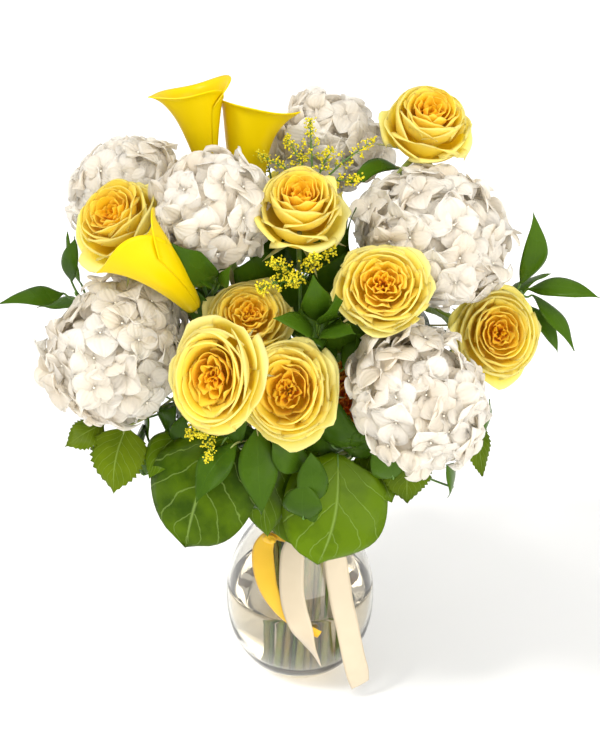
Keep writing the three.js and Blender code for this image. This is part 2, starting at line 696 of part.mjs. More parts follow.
const FOLIAGE = [
  {
    name: 'ruscus_left', top: [-206, 6, 424], comes: [-0.5, 0, 0.85], leaves: [
      { from: [-213, -14, 432], tip: [-262, -60, 446], half: 11, outline: 'lance', faces: [-0.1, -0.6, 0.8] },
      { from: [-208, 2, 436], tip: [-196, -14, 490], half: 9, outline: 'lance', faces: [-0.3, -0.9, 0.3] },
      { from: [-200, 10, 428], tip: [-212, 28, 474], half: 8, outline: 'lance', faces: [-0.8, -0.5, 0.3] },
      { from: [-196, 14, 404], tip: [-248, 34, 392], half: 11, outline: 'lance', faces: [-0.3, 0, 0.95] },
    ],
  },
  {
    name: 'ruscus_right', top: [205, 24, 416], comes: [0.4, 0, 0.9], leans: [30, 60], leaves: [
      { from: [204, 22, 424], tip: [207, 2, 505], half: 12, outline: 'lance', faces: [0.1, -0.95, 0.2] },
      { from: [210, 18, 420], tip: [270, -20, 430], half: 12, outline: 'lance', faces: [0.1, -0.5, 0.85] },
      { from: [216, 22, 412], tip: [251, -24, 378], half: 11, outline: 'lance', faces: [0.5, -0.5, 0.7], rise: 4 },
      { from: [214, 24, 400], tip: [240, -2, 364], half: 9, outline: 'lance', faces: [0.4, -0.7, 0.5], rise: 4 },
      { from: [196, 34, 400], tip: [240, 66, 412], half: 11, outline: 'lance', faces: [0.1, 0.4, 0.9] },
    ],
  },
  {
    name: 'ruscus_upper', top: [-86, -32, 455], comes: [0, -0.5, 0.87], leaves: [
      { from: [-74, -50, 462], tip: [-106, -96, 520], half: 14, outline: 'lance', faces: [0.1, -0.9, 0.4] },
      { from: [-70, -54, 462], tip: [-58, -82, 493], half: 7, outline: 'lance', faces: [0, -0.8, 0.6] },
      { from: [-76, -48, 455], tip: [-90, -78, 478], half: 8, outline: 'lance', faces: [-0.2, -0.7, 0.6] },
    ],
  },
  {
    name: 'ruscus_centre', top: [15, -72, 432], comes: [0, -0.5, 0.87], leaves: [
      { from: [15, -80, 440], tip: [11, -110, 498], half: 11, outline: 'lance', faces: [0, -0.9, 0.4] },
      { from: [18, -82, 438], tip: [30, -122, 486], half: 12, outline: 'lance', faces: [0.3, -0.8, 0.5] },
      { from: [20, -84, 432], tip: [46, -136, 456], half: 11, outline: 'lance', faces: [0, -0.6, 0.8] },
      { from: [10, -80, 434], tip: [-22, -126, 466], half: 10, outline: 'lance', faces: [-0.2, -0.7, 0.7] },
    ],
  },
  {
    name: 'salal_front_left', top: [-52, -78, 318], comes: [-0.3, -0.6, 0.74], leans: [-50, 0], leaves: [
      { from: [-70, -90, 322], tip: [-108, -116, 224], half: 46, outline: 'round', faces: [-0.25, -0.85, 0.4] },
      { from: [-104, -66, 318], tip: [-136, -98, 288], half: 18, outline: 'oval', faces: [-0.4, -0.6, 0.6] },
      { from: [-34, -70, 300], tip: [-40, -100, 236], half: 20, outline: 'oval', faces: [0, -0.85, 0.5] },
    ],
  },
  {
    name: 'salal_front_right', top: [36, -74, 306], comes: [0.2, -0.6, 0.77], leaves: [
      { from: [36, -86, 304], tip: [22, -116, 204], half: 46, outline: 'round', faces: [0.15, -0.9, 0.4] },
      { from: [8, -66, 306], tip: [-4, -106, 252], half: 18, outline: 'oval', faces: [-0.1, -0.8, 0.6] },
      { from: [70, -56, 298], tip: [120, -70, 266], half: 22, outline: 'oval', faces: [0.4, -0.6, 0.6] },
    ],
  },
  {
    name: 'salal_back_left', top: [-56, 82, 306], comes: [-0.3, 0.6, 0.74], leans: [90, 30], leaves: [
      { from: [-58, 92, 314], tip: [-80, 118, 222], half: 44, outline: 'round', faces: [-0.3, 0.85, 0.4] },
      { from: [-90, 62, 312], tip: [-146, 88, 262], half: 30, outline: 'oval' },
      { from: [-30, 90, 330], tip: [-16, 132, 268], half: 26, outline: 'oval' },
    ],
  },
  {
    name: 'salal_back_right', top: [58, 80, 306], comes: [0.3, 0.6, 0.74], leans: [-50, 0], leaves: [
      { from: [54, 92, 314], tip: [62, 122, 220], half: 44, outline: 'round', faces: [0.2, 0.88, 0.4] },
      { from: [92, 58, 310], tip: [146, 76, 262], half: 28, outline: 'oval' },
      { from: [30, 88, 336], tip: [30, 130, 290], half: 24, outline: 'oval' },
    ],
  },
];

const SPRAYS = [                  // tips are the ends of the goldenrod's plumes
  {
    name: 'goldenrod_top', top: [12, 50, 505], comes: [0, 0, 1], tips: [
      [-38, 62, 535], [-12, 70, 548], [9, 60, 568], [28, 44, 546], [66, 62, 548], [52, 16, 530],
    ],
  },
  {
    name: 'goldenrod_centre', top: [0, -52, 462], comes: [0, -0.4, 0.9], tips: [
      [28, -64, 500], [12, -80, 500], [-24, -72, 492], [-34, -88, 474], [-6, -92, 482],
    ],
  },
  {
    name: 'goldenrod_low', top: [-82, -82, 330], comes: [-0.3, -0.4, 0.8], leans: [-60, 60], tips: [
      [-86, -112, 346], [-98, -104, 338], [-80, -124, 326],
    ],
  },
  {
    name: 'goldenrod_back', top: [-24, 120, 466], comes: [-0.2, 0.4, 0.9], leans: [0, -90], tips: [
      [-58, 172, 500], [-38, 180, 506], [-52, 150, 520], [-74, 168, 486],
    ],
  },
];
const BUD_RADIUS = 3.4;
const PLUME_RADIUS = 1.1;
const PLUME_BARE = 0.35;          // share of a plume, from its root, that bears no buds
const BUDS_PER_PLUME = 3;
const PLUME_SIDES = 3;

/** One arching plume of a spray: a thread that swells at each bud, with the buds left and right of it. */
function plume(from, tip, draw) {
  const middle = from.clone().lerp(tip, 0.55).addScaledVector(UP, 3);
  const curve = new THREE.QuadraticBezierCurve3(from, middle, tip);
  const points = [from];
  const radii = [PLUME_RADIUS];
  for (let k = 0; k < 2 * BUDS_PER_PLUME; k++) {
    const bud = k % 2 === 1;
    const share = PLUME_BARE + ((1 - PLUME_BARE) * (k + 1)) / (2 * BUDS_PER_PLUME);
    const lean = new THREE.Vector3(draw() - 0.5, draw() - 0.5, draw() - 0.5).multiplyScalar(bud ? 4 : 0);
    points.push(curve.getPoint(share).add(lean));
    radii.push(bud ? BUD_RADIUS * (0.8 + 0.4 * draw()) : PLUME_RADIUS);
  }
  return solidOf(tube(points, radii, PLUME_SIDES));
}

function makeSpray(stem, seed) {
  const draw = seeded(seed);
  const plumes = stem.tips.map((tip) => {
    const end = clearOfHeads(vector(tip), BUD_RADIUS + 2);
    const { point } = nearestOn(stem.points, end);
    return plume(point.lerp(stem.points.at(-1), 0.6), end, draw);
  });
  return fuse([stemTube(stem), ...plumes]);
}

const SEPALS = 5;
const SEPAL_REACH = 24;
const SEPAL_DROP = 9;
const SEPAL_NOTCH = 4;
const CALYX_DEPTH = 6;

/** The green star of sepals under a rose, bent back and growing out of the stem. */
function calyx(stem) {
  const [x, y, z] = stem.head.axes;
  const star = new THREE.ConeGeometry(1, 1, 2 * SEPALS);
  return reshape(star, (point) => {
    if (point.y > 0) return stem.top.clone().addScaledVector(z, -CALYX_DEPTH);
    const middle = Math.hypot(point.x, point.z) < 0.1;
    const angle = Math.atan2(point.z, point.x);
    const sepal = Math.round((angle / FULL_TURN) * 2 * SEPALS) % 2 === 0;
    const reach = middle ? 0 : (sepal ? SEPAL_REACH : SEPAL_NOTCH);
    const place = stem.top.clone().addScaledVector(z, middle ? 0 : (sepal ? -SEPAL_DROP : -1));
    return place.addScaledVector(x, reach * Math.cos(angle)).addScaledVector(y, reach * Math.sin(angle));
  });
}

function makeStem(stem) {
  const pieces = [stemTube(stem)];
  if (stem.head?.kind === 'rose') pieces.push(solidOf(calyx(stem)));
  for (const spec of stem.leaves ?? []) pieces.push(leaf(stem.points, spec));
  return fuse(pieces);
}

// ---------------------------------------------------------------- ribbons

const RIBBONS = {
  yellow: {
    band: 174.5,                    // height of the band's lower edge
    knot: [-30, -39, 178],
    tails: [
      {
        path: [
          [-31, -38, 180], [-40, -40, 166], [-40, -49, 150], [-32, -62, 134], [-20, -71, 118],
          [-4, -75, 103], [19, -77, 90],
        ],
        turns: [[0.9, -0.4, 0], [0.9, -0.45, 0.1], [0.9, -0.4, 0.2], [0.8, -0.2, 0.5], [0.6, -0.1, 0.8],
          [0.45, 0, 0.9], [0.3, 0, 0.95]],
        widths: [10, 20, 24, 20, 15, 12, 9],
      },
    ],
  },
  cream: {
    band: 182.6,
    knot: [-2, -49, 186],
    tails: [
      {
        path: [
          [-5, -48, 187], [-7, -54, 174], [-8, -62, 158], [-8, -71, 140], [-5, -78, 122], [1, -83, 104],
          [8, -84, 84], [15, -83, 68], [19, -80, 56],
        ],
        turns: [[1, 0, 0], [1, 0, 0], [1, -0.05, 0], [1, -0.1, 0], [1, -0.1, 0.1], [1, -0.1, 0.12],
          [0.75, -0.6, 0.2], [0.5, -0.8, 0.2], [0.3, -0.9, 0.2]],
        widths: [12, 22, 24, 24, 24, 22, 18, 13, 9],
      },
      {
        path: [
          [2, -48, 186], [24, -46, 178], [33, -47, 164], [37, -56, 142], [41, -66, 120], [46, -71, 98],
          [50, -73, 76], [54, -73, 54], [58, -70, 34], [61, -64, 15],
        ],
        turns: [[0, 0.3, 0.95], [0.7, 0.2, 0.6], [0.95, 0.25, 0.1], [0.93, 0.35, 0.1], [0.9, 0.42, 0.1],
          [0.9, 0.42, 0.1], [0.9, 0.42, 0.12], [0.9, 0.42, 0.15], [0.9, 0.42, 0.15], [0.9, 0.42, 0.2]],
        widths: [8, 16, 22, 24, 24, 24, 24, 24, 24, 20],
      },
    ],
  },
};

/** A strip of satin along a path, with its width turned as each place says. */
function satinTail({ path, turns, widths }) {
  const points = path.map(vector);
  const rings = points.map((point, i) => {
    const before = points[Math.max(i - 1, 0)];
    const after = points[Math.min(i + 1, points.length - 1)];
    const way = after.clone().sub(before).normalize();
    const side = vector(turns[i]);
    side.addScaledVector(way, -side.dot(way)).normalize().multiplyScalar(widths[i] / 2);
    const face = new THREE.Vector3().crossVectors(way, side).setLength(SATIN / 2);
    return [[1, 1], [-1, 1], [-1, -1], [1, -1]].map(([s, f]) =>
      point.clone().addScaledVector(side, s).addScaledVector(face, f));
  });
  return solidOf(new LoftGeometry(rings, { capStart: true, capEnd: true }));
}

function makeRibbon({ band, knot, tails }) {
  const outer = BAND_RADIUS + 2;
  const profile = [
    [BAND_RADIUS, band], [outer, band], [outer, band + BAND_HEIGHT], [BAND_RADIUS, band + BAND_HEIGHT],
    [BAND_RADIUS, band],
  ];
  const ring = solidOf(turned(profile, BAND_SIDES));
  const lump = solidOf(new THREE.SphereGeometry(1, 6, 4).scale(8, 5, 4).translate(...knot));
  return fuse([ring, lump, ...tails.map(satinTail)]);
}

// ---------------------------------------------------------------- the whole bouquet

const group = new THREE.Group();

function show(name, solid, colour) {
  const [color, roughness] = COLOURS[colour];
  const material = new THREE.MeshStandardMaterial({ color, roughness, metalness: 0 });
  const mesh = new THREE.Mesh(geometryOf(solid), material);
  mesh.name = name;
  group.add(mesh);
}

const flowerStems = heads.map((head) => ({
  name: `${head.name}_stem`,
  radius: head.kind === 'rose' ? ROSE_STEM : HYDRANGEA_STEM,
  sides: STEM_SIDES,
  leaves: LEAVES[head.name],
  colour: 'stem',
  ...stemUnder(head),
}));
const callaStems = CALLAS.map((spec) => {
  const comes = vector(spec.mouth).sub(vector(spec.base)).normalize();
  const top = vector(spec.base).addScaledVector(comes, -GAP);
  return { name: `${spec.name}_stem`, radius: CALLA_STEM, sides: STEM_SIDES, colour: 'stem', top, comes };
});
const leafyStems = [...FOLIAGE, ...SPRAYS].map((spec) => ({
  ...spec,
  radius: SPRIG_STEM,
  sides: SPRIG_SIDES,
  colour: spec.name.startsWith('ruscus') ? 'dark_leaf' : 'broad_leaf',
  top: vector(spec.top),
  comes: vector(spec.comes).normalize(),
}));
const stems = [...flowerStems, ...callaStems, ...leafyStems];
gather(stems);
stems.forEach(routeStem);
bendStems(stems);

show('vase', makeVase(), 'glass');
show('water', makeWater(stems), 'water');
show('ribbon_yellow', makeRibbon(RIBBONS.yellow), 'yellow_satin');
show('ribbon_cream', makeRibbon(RIBBONS.cream), 'cream_satin');
heads.forEach((head, i) => {
  if (head.kind === 'rose') show(head.name, makeRose(head), head.deep ? 'rose_deep' : 'rose');
  else show(head.name, makeHydrangea(head, 100 + i), 'hydrangea');
});
for (const spec of CALLAS) show(spec.name, makeCalla(spec), 'calla');
for (const [i, stem] of stems.entries()) {
  if (stem.tips) show(stem.name, makeSpray(stem, 300 + i), 'goldenrod');
  else show(stem.name, mainBody(makeStem(stem)), stem.colour);
}

export default group;
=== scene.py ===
"""Dressed model of a floral table centrepiece.

A round bouquet of garden roses, hydrangeas, calla lilies, goldenrod and leaves stands in a clear glass
bubble vase with water, tied at the neck with a yellow and a cream satin ribbon. Shapes are worked out in
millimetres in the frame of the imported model, and are turned to metres when a piece is finished.
"""

import logging
import math
import random
from collections.abc import Callable, Iterable, Sequence
from dataclasses import dataclass, field
from enum import Enum
from functools import cached_property, partial

import bmesh
import bpy
import numpy as np
from mathutils import Matrix, Vector


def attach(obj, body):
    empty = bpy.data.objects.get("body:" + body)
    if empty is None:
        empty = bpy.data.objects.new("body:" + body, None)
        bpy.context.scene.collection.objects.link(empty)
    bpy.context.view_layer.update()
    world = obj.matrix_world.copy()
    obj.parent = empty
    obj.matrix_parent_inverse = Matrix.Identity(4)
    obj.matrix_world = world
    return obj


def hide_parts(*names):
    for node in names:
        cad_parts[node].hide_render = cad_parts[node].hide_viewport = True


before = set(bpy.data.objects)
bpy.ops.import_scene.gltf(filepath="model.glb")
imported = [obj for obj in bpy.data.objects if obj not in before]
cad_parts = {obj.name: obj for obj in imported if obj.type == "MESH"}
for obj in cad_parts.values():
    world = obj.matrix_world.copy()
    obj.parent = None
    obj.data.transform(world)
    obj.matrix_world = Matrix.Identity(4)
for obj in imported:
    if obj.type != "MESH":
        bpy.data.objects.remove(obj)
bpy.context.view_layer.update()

LOG = logging.getLogger("centrepiece")

Triple = tuple[float, float, float]
Surface = Callable[[float, float], Vector]

MM = 0.001
UP = Vector((0.0, 0.0, 1.0))
NEARLY_UPRIGHT = 0.999
GOLDEN_ANGLE = math.pi * (3.0 - math.sqrt(5.0))
BODY = "root"
MARKS = ("along", "across", "depth", "tone")


# ---- small helpers


def clamp(value: float, low: float = 0.0, high: float = 1.0) -> float:
    """Keeps a value between two limits."""
    return max(low, min(high, value))


def smooth_step(value: float) -> float:
    """Eases a share from 0 to 1 with level ends."""
    t = clamp(value)
    return t * t * (3.0 - 2.0 * t)


def blend(start: float, end: float, share: float) -> float:
    """Gives the value at a share of the way from start to end."""
    return start + (end - start) * share


def bezier(share: float, values: Sequence[float]) -> float:
    """Evaluates a cubic Bezier of four numbers.

    Args:
        share: Place along the curve, from 0 to 1.
        values: The four control values.

    Returns:
        The curve's value there.
    """
    a, b, c, d = values
    rest = 1.0 - share
    return rest**3 * a + 3 * rest**2 * share * b + 3 * rest * share**2 * c + share**3 * d


def spline_at(points: Sequence[Sequence[float]], share: float) -> np.ndarray:
    """Evaluates a Catmull-Rom curve through points.

    Args:
        points: The points that the curve passes, evenly spaced in share.
        share: Place along the curve, from 0 to 1.

    Returns:
        The point on the curve.
    """
    spots = np.asarray(points, float)
    last = len(spots) - 1
    place = clamp(share) * last
    i = min(int(place), last - 1)
    t = place - i
    p0, p1, p2, p3 = spots[max(i - 1, 0)], spots[i], spots[i + 1], spots[min(i + 2, last)]
    square, cube = 2 * p0 - 5 * p1 + 4 * p2 - p3, 3 * p1 - p0 - 3 * p2 + p3
    return 0.5 * (2 * p1 + (p2 - p0) * t + square * t**2 + cube * t**3)


def frame_facing(faces: Sequence[float]) -> list[Vector]:
    """Gives the axes of a thing that faces one way.

    Args:
        faces: Where it faces.

    Returns:
        Its axes: x level, y as near up as can be, z where it faces.
    """
    z = Vector(faces).normalized()
    x = UP.cross(z).normalized() if abs(z.z) < NEARLY_UPRIGHT else Vector((1.0, 0.0, 0.0))
    return [x, z.cross(x), z]


# ---- the flower heads


class Kind(Enum):
    """The kinds of round flower head."""

    ROSE = "rose"
    HYDRANGEA = "hydrangea"


class RoseForm(Enum):
    """How far a garden rose has opened."""

    OPEN = "open"
    CUPPED = "cupped"
    DEEP = "deep"


BOUQUET_FOCUS = Vector((0.0, 10.0, 220.0))


@dataclass(frozen=True)
class Head:
    """A flower head: its middle, half sizes across, up and along its way, slot, and where it faces."""

    name: str
    kind: Kind
    at: Triple
    radii: Triple
    slot: str
    faces: Triple | None = None
    form: RoseForm = RoseForm.CUPPED
    florets: int = 0

    @property
    def axes(self) -> list[Vector]:
        """The head's own axes."""
        return frame_facing(self.faces or (Vector(self.at) - BOUQUET_FOCUS))

    def reach(self, way: np.ndarray) -> float:
        """Gives the distance of the head's tangent plane along a direction."""
        arms = [np.dot(axis, way) * radius for axis, radius in zip(self.axes, self.radii)]
        return float(np.hypot.reduce(arms))


def rose(
    name: str, at: Triple, radii: Triple, faces: Triple, form: RoseForm = RoseForm.CUPPED,
    slot: str = "rose_petal",
) -> Head:
    """Gives the head of a garden rose."""
    return Head(f"rose_{name}", Kind.ROSE, at, radii, slot, faces, form)


def hydrangea(name: str, at: Triple, radii: Triple, florets: int) -> Head:
    """Gives the head of a hydrangea, which faces away from the bouquet's focus."""
    return Head(f"hydrangea_{name}", Kind.HYDRANGEA, at, radii, "hydrangea_petal", florets=florets)


HEADS = (
    rose("top_right", (116, 70, 560), (41, 42, 42), (0.12, -0.38, 0.92)),
    rose("top", (0, -40, 526), (39, 41, 42), (0.02, -0.38, 0.92)),
    rose("centre", (70, -90, 475), (41, 39, 35), (-0.05, -0.75, 0.66), RoseForm.OPEN),
    rose("right", (180, -14, 391), (40, 45, 36), (0.1, -0.85, 0.5)),
    rose("left", (-157, -22, 505), (42, 44, 40), (-0.4, -0.42, 0.81)),
    rose("heart", (-45, -66, 433), (37, 36, 32), (0.05, -0.65, 0.75), RoseForm.OPEN),
    rose("front_left", (-70, -148, 424), (38, 49, 40), (-0.27, -0.9, 0.34), RoseForm.DEEP),
    rose("front", (-10, -118, 391), (42, 46, 38), (-0.15, -0.85, 0.5), RoseForm.DEEP),
    rose("under", (43, -68, 351), (35, 38, 33), (0.1, -0.9, 0.42), RoseForm.OPEN, "deep_rose_petal"),
    rose("back", (0, 190, 440), (42, 42, 34), (0, 0.88, 0.47), RoseForm.OPEN),
    rose("back_left", (-165, 78, 362), (40, 40, 33), (-0.85, 0.42, 0.32)),
    hydrangea("left", (-162, -50, 391), (70, 70, 66), 84),
    hydrangea("top_left", (-158, 60, 496), (58, 58, 54), 62),
    hydrangea("top", (-80, -20, 516), (58, 58, 54), 62),
    hydrangea("crown", (27, 140, 516), (59, 52, 48), 64),
    hydrangea("right", (121, 8, 476), (80, 77, 66), 104),
    hydrangea("front", (101, -114, 382), (59, 69, 60), 76),
    hydrangea("back_left", (-110, 140, 420), (62, 62, 58), 70),
    hydrangea("back_right", (120, 150, 420), (62, 62, 58), 70),
)


class Crowd:
    """The heads together. Each one keeps to its own share of the room between it and its neighbours."""

    gap = 0.5
    soft_from = 0.85
    passes = 4
    least = 1e-6

    def __init__(self, heads: Sequence[Head]) -> None:
        """Works out the planes that part each head from the others."""
        self.heads = heads
        self.planes = {
            head.name: [self._plane(head, other) for other in heads if other is not head] for head in heads
        }

    def _plane(self, head: Head, other: Head) -> tuple[np.ndarray, float]:
        """Gives the way to another head and how far this one may reach along it.

        Args:
            head: The head that is held back.
            other: Its neighbour. A hydrangea gives way to a rose, and like heads share the squeeze.

        Returns:
            The unit way and the limit in millimetres.
        """
        way = np.subtract(other.at, head.at).astype(float)
        distance = float(np.linalg.norm(way))
        way /= distance
        slack = distance - head.reach(way) - other.reach(way)
        share = 0.5
        if slack < 0 and head.kind is not other.kind:
            share = 0.0 if head.kind is Kind.ROSE else 1.0
        return way, head.reach(way) + slack * share - self.gap

    def place(self, head: Head, points: np.ndarray) -> np.ndarray:
        """Puts points of a head of radius 1 in their place, drawn in where the neighbours press on it.

        Args:
            head: The head that the points belong to.
            points: Points in the head's own axes.

        Returns:
            The points in the row frame, in millimetres.
        """
        centre = np.asarray(head.at, float)
        axes = np.array([tuple(axis) for axis in head.axes])
        arms = (points * np.asarray(head.radii, float)) @ axes
        lengths = np.maximum(np.linalg.norm(arms, axis=1), self.least)
        ways = arms / lengths[:, None]
        free = np.full(len(points), np.inf)
        for way, limit in self.planes[head.name]:
            towards = ways @ way
            near = np.minimum(free, limit / np.maximum(towards, self.least))
            free = np.where(towards > self.least, near, free)
        share = lengths / free
        room = 1.0 - self.soft_from
        over = np.maximum(share, self.soft_from) - self.soft_from
        yielded = self.soft_from + room * (1.0 - np.exp(-over / room))
        final = np.where(share > self.soft_from, free * yielded, lengths)
        return centre + ways * final[:, None]

    def clear(
        self, points: np.ndarray, margins: float | np.ndarray, owners: Sequence[Head | None] | None = None
    ) -> np.ndarray:
        """Moves points out of every head, to a margin outside its ellipsoid.

        Args:
            points: Points in millimetres.
            margins: How far outside they end, for all or for each.
            owners: The head that each point may touch.

        Returns:
            The moved points.
        """
        moved = np.array(points, float)
        margins = np.broadcast_to(np.asarray(margins, float), len(moved))
        free = [
            np.array([owner is not head for owner in owners]) if owners else True for head in self.heads
        ]
        for _ in range(self.passes):
            for head, may_move in zip(self.heads, free):
                arms = moved - head.at
                axes = np.array([tuple(axis) for axis in head.axes])
                reach = np.asarray(head.radii) + margins[:, None]
                shares = np.linalg.norm((arms @ axes.T) / reach, axis=1)
                inside = (shares < 1.0) & may_move
                moved[inside] = head.at + arms[inside] / np.maximum(shares[inside], 1e-3)[:, None]
        return moved


CROWD = Crowd(HEADS)


# ---- meshes of soft and grown things


class Sculpt:
    """A mesh in the making, in millimetres.

    Each vertex carries four numbers that the finishes read: its share of the way along its petal or leaf, its
    share across, how deep that petal sits in its flower, and a tone drawn for the petal.
    """

    def __init__(self) -> None:
        """Starts an empty mesh."""
        self.mesh = bmesh.new()
        self.layers = {name: self.mesh.verts.layers.float.new(name) for name in MARKS}
        self.open = self.mesh.faces.layers.int.new("open")

    def _mark(self, vert: bmesh.types.BMVert, *numbers: float) -> None:
        """Writes a vertex's four numbers."""
        for layer, value in zip(self.layers.values(), numbers):
            vert[layer] = value

    def sheet(
        self, columns: int, rows: int, surface: Surface, depth: float = 0.0, tone: float = 0.5,
        material: int = 0,
    ) -> list[bmesh.types.BMVert]:
        """Adds a grid that is bent into a surface.

        Args:
            columns: Faces across.
            rows: Faces along.
            surface: Gives the point for across, from -1 to 1, and along, from 0 to 1.
            depth: How deep in the flower the sheet sits.
            tone: The tone drawn for it.
            material: The index of its finish.

        Returns:
            The new vertices.
        """
        made = bmesh.ops.create_grid(self.mesh, x_segments=columns, y_segments=rows, size=1.0)["verts"]
        for vert in made:
            across, along = vert.co.x, (vert.co.y + 1.0) / 2.0
            self._mark(vert, along, across, depth, tone)
            vert.co = surface(across, along)
        self._dress({face for vert in made for face in vert.link_faces}, material, 1)
        return made

    def tube(
        self,
        points: Sequence[Sequence[float]],
        radii: Sequence[float],
        sides: int = 10,
        steps: int = 24,
        tone: float = 0.5,
        material: int = 0,
    ) -> None:
        """Sweeps a round section along a smooth curve.

        Args:
            points: Points that the curve passes.
            radii: The radius at each point.
            sides: Sides of the section.
            steps: Sections along the curve.
            tone: The tone drawn for the tube.
            material: The index of its finish.
        """
        spots = [Vector(spline_at(points, k / steps)) for k in range(steps + 1)]
        sizes = [max(0.1, float(spline_at([[r] for r in radii], k / steps)[0])) for k in range(steps + 1)]
        way, side = UP, Vector((1.0, 0.0, 0.0))
        matrices = []
        for k, (spot, size) in enumerate(zip(spots, sizes)):
            ahead = spots[min(k + 1, steps)] - spots[max(k - 1, 0)]
            way = ahead.normalized() if ahead.length > 1e-3 else way
            level = side - way * side.dot(way)
            side = level.normalized() if level.length > 0.05 else way.orthogonal().normalized()
            turn = Matrix((side, way.cross(side), way)).transposed().to_4x4()
            matrices.append(Matrix.Translation(spot) @ turn @ Matrix.Scale(size, 4))
        ring = bmesh.ops.create_circle(self.mesh, segments=sides, radius=1.0, matrix=matrices[0])["verts"]
        first = list({edge for vert in ring for edge in vert.link_edges})
        faces = set(bmesh.ops.contextual_create(self.mesh, geom=first)["faces"])
        for vert in ring:
            self._mark(vert, 0.0, 0.0, 0.0, tone)
        edges = first
        for k in range(1, steps + 1):
            grown = bmesh.ops.extrude_edge_only(self.mesh, edges=edges)["geom"]
            ring = [part for part in grown if isinstance(part, bmesh.types.BMVert)]
            within = set(ring)
            edges = [p for p in grown if isinstance(p, bmesh.types.BMEdge) and within.issuperset(p.verts)]
            faces.update(part for part in grown if isinstance(part, bmesh.types.BMFace))
            move = matrices[k] @ matrices[k - 1].inverted()
            for vert in ring:
                vert.co = move @ vert.co
                self._mark(vert, k / steps, 0.0, 0.0, tone)
        faces.update(bmesh.ops.contextual_create(self.mesh, geom=edges)["faces"])
        bmesh.ops.recalc_face_normals(self.mesh, faces=list(faces))
        self._dress(faces, material)

    def ball(
        self, centre: Sequence[float], radii: Triple, detail: int = 1, tone: float = 0.5, material: int = 0,
        axes: Sequence[Vector] | None = None,
    ) -> list[bmesh.types.BMVert]:
        """Adds a small faceted ball or egg.

        Args:
            centre: Its middle.
            radii: Its half sizes along its axes.
            detail: How often its faces are split.
            tone: The tone drawn for it.
            material: The index of its finish.
            axes: Its axes, or none for the frame's own.

        Returns:
            The new vertices.
        """
        turn = Matrix(axes).transposed().to_4x4() if axes else Matrix.Identity(4)
        matrix = Matrix.Translation(Vector(centre)) @ turn @ Matrix.Diagonal((*radii, 1.0))
        made = bmesh.ops.create_icosphere(self.mesh, subdivisions=detail, radius=1.0, matrix=matrix)["verts"]
        for vert in made:
            self._mark(vert, 0.5, 0.0, 1.0, tone)
        self._dress({face for vert in made for face in vert.link_faces}, material)
        return made

    def turned(self, profile: Sequence[Sequence[float]], steps: int) -> None:
        """Adds a closed shell: a profile that is spun round the vertical axis.

        Args:
            profile: Pairs of radius and height, from axis to axis.
            steps: Faces round the shell.
        """
        verts = [self.mesh.verts.new((radius, 0.0, height)) for radius, height in profile]
        edges = [self.mesh.edges.new(pair) for pair in zip(verts, verts[1:])]
        bmesh.ops.spin(
            self.mesh, geom=verts + edges, axis=UP, cent=(0, 0, 0), angle=2 * math.pi, steps=steps,
            use_merge=True,
        )
        bmesh.ops.remove_doubles(self.mesh, verts=self.mesh.verts, dist=0.001)
        bmesh.ops.recalc_face_normals(self.mesh, faces=self.mesh.faces)
        self._dress(self.mesh.faces, 0)

    def move(self, verts: Sequence[bmesh.types.BMVert], rule: Callable[[np.ndarray], np.ndarray]) -> None:
        """Moves vertices by a rule on all their places at once."""
        for vert, place in zip(verts, rule(np.array([tuple(vert.co) for vert in verts]))):
            vert.co = place

    def make(
        self, name: str, nodes: Sequence[str], slot: str, finishes: Sequence["Finish"], thick: float = 0.0
    ) -> bpy.types.Object:
        """Turns the mesh into a piece of the object.

        Args:
            name: The piece's name.
            nodes: The CAD nodes that it stands for.
            slot: The record's material slot; not used.
            finishes: What it is made of.
            thick: Thickness in millimetres that its open sheets get.

        Returns:
            The finished object.
        """
        bmesh.ops.scale(self.mesh, vec=(MM, MM, MM), verts=self.mesh.verts)
        if thick:
            self._thicken(thick * MM)
        self.mesh.faces.layers.int.remove(self.open)
        data = bpy.data.meshes.new(name)
        self.mesh.to_mesh(data)
        self.mesh.free()
        for finish in finishes:
            data.materials.append(finish.material)
        piece = bpy.data.objects.new(name, data)
        bpy.context.scene.collection.objects.link(piece)
        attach(piece, BODY)
        if nodes:
            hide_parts(*nodes)
        LOG.info("%s: %d faces", name, len(data.polygons))
        return piece

    def _thicken(self, thick: float) -> None:
        """Gives every open sheet a second face and a rim.

        Args:
            thick: The distance between the two faces, in metres.
        """
        faces = [face for face in self.mesh.faces if face[self.open]]
        self.mesh.normal_update()
        normals = {vert: vert.normal.copy() for face in faces for vert in face.verts}
        bmesh.ops.extrude_face_region(self.mesh, geom=faces, use_keep_orig=True)
        for vert, normal in normals.items():
            vert.co += normal * thick
        bmesh.ops.recalc_face_normals(self.mesh, faces=self.mesh.faces)
        for face in self.mesh.faces:
            moved = sum(vert in normals for vert in face.verts)
            face.smooth = moved in (0, len(face.verts))

    def _dress(self, faces: Iterable[bmesh.types.BMFace], material: int, is_open: int = 0) -> None:
        """Makes faces smooth and gives them their finish.

        Args:
            faces: The faces.
            material: The index of their finish.
            is_open: 1 where they are part of an open sheet, which gets its thickness later.
        """
        for face in faces:
            face.material_index = material
            face.smooth = True
            face[self.open] = is_open


# ---- finishes


def linear(code: str) -> tuple[float, float, float, float]:
    """Turns an sRGB colour into a linear one.

    Args:
        code: The colour as # and six hex digits.

    Returns:
        Linear red, green, blue and alpha.
    """
    parts = [int(code[i : i + 2], 16) / 255.0 for i in (1, 3, 5)]
    red, green, blue = (p / 12.92 if p <= 0.04045 else ((p + 0.055) / 1.055) ** 2.4 for p in parts)
    return red, green, blue, 1.0


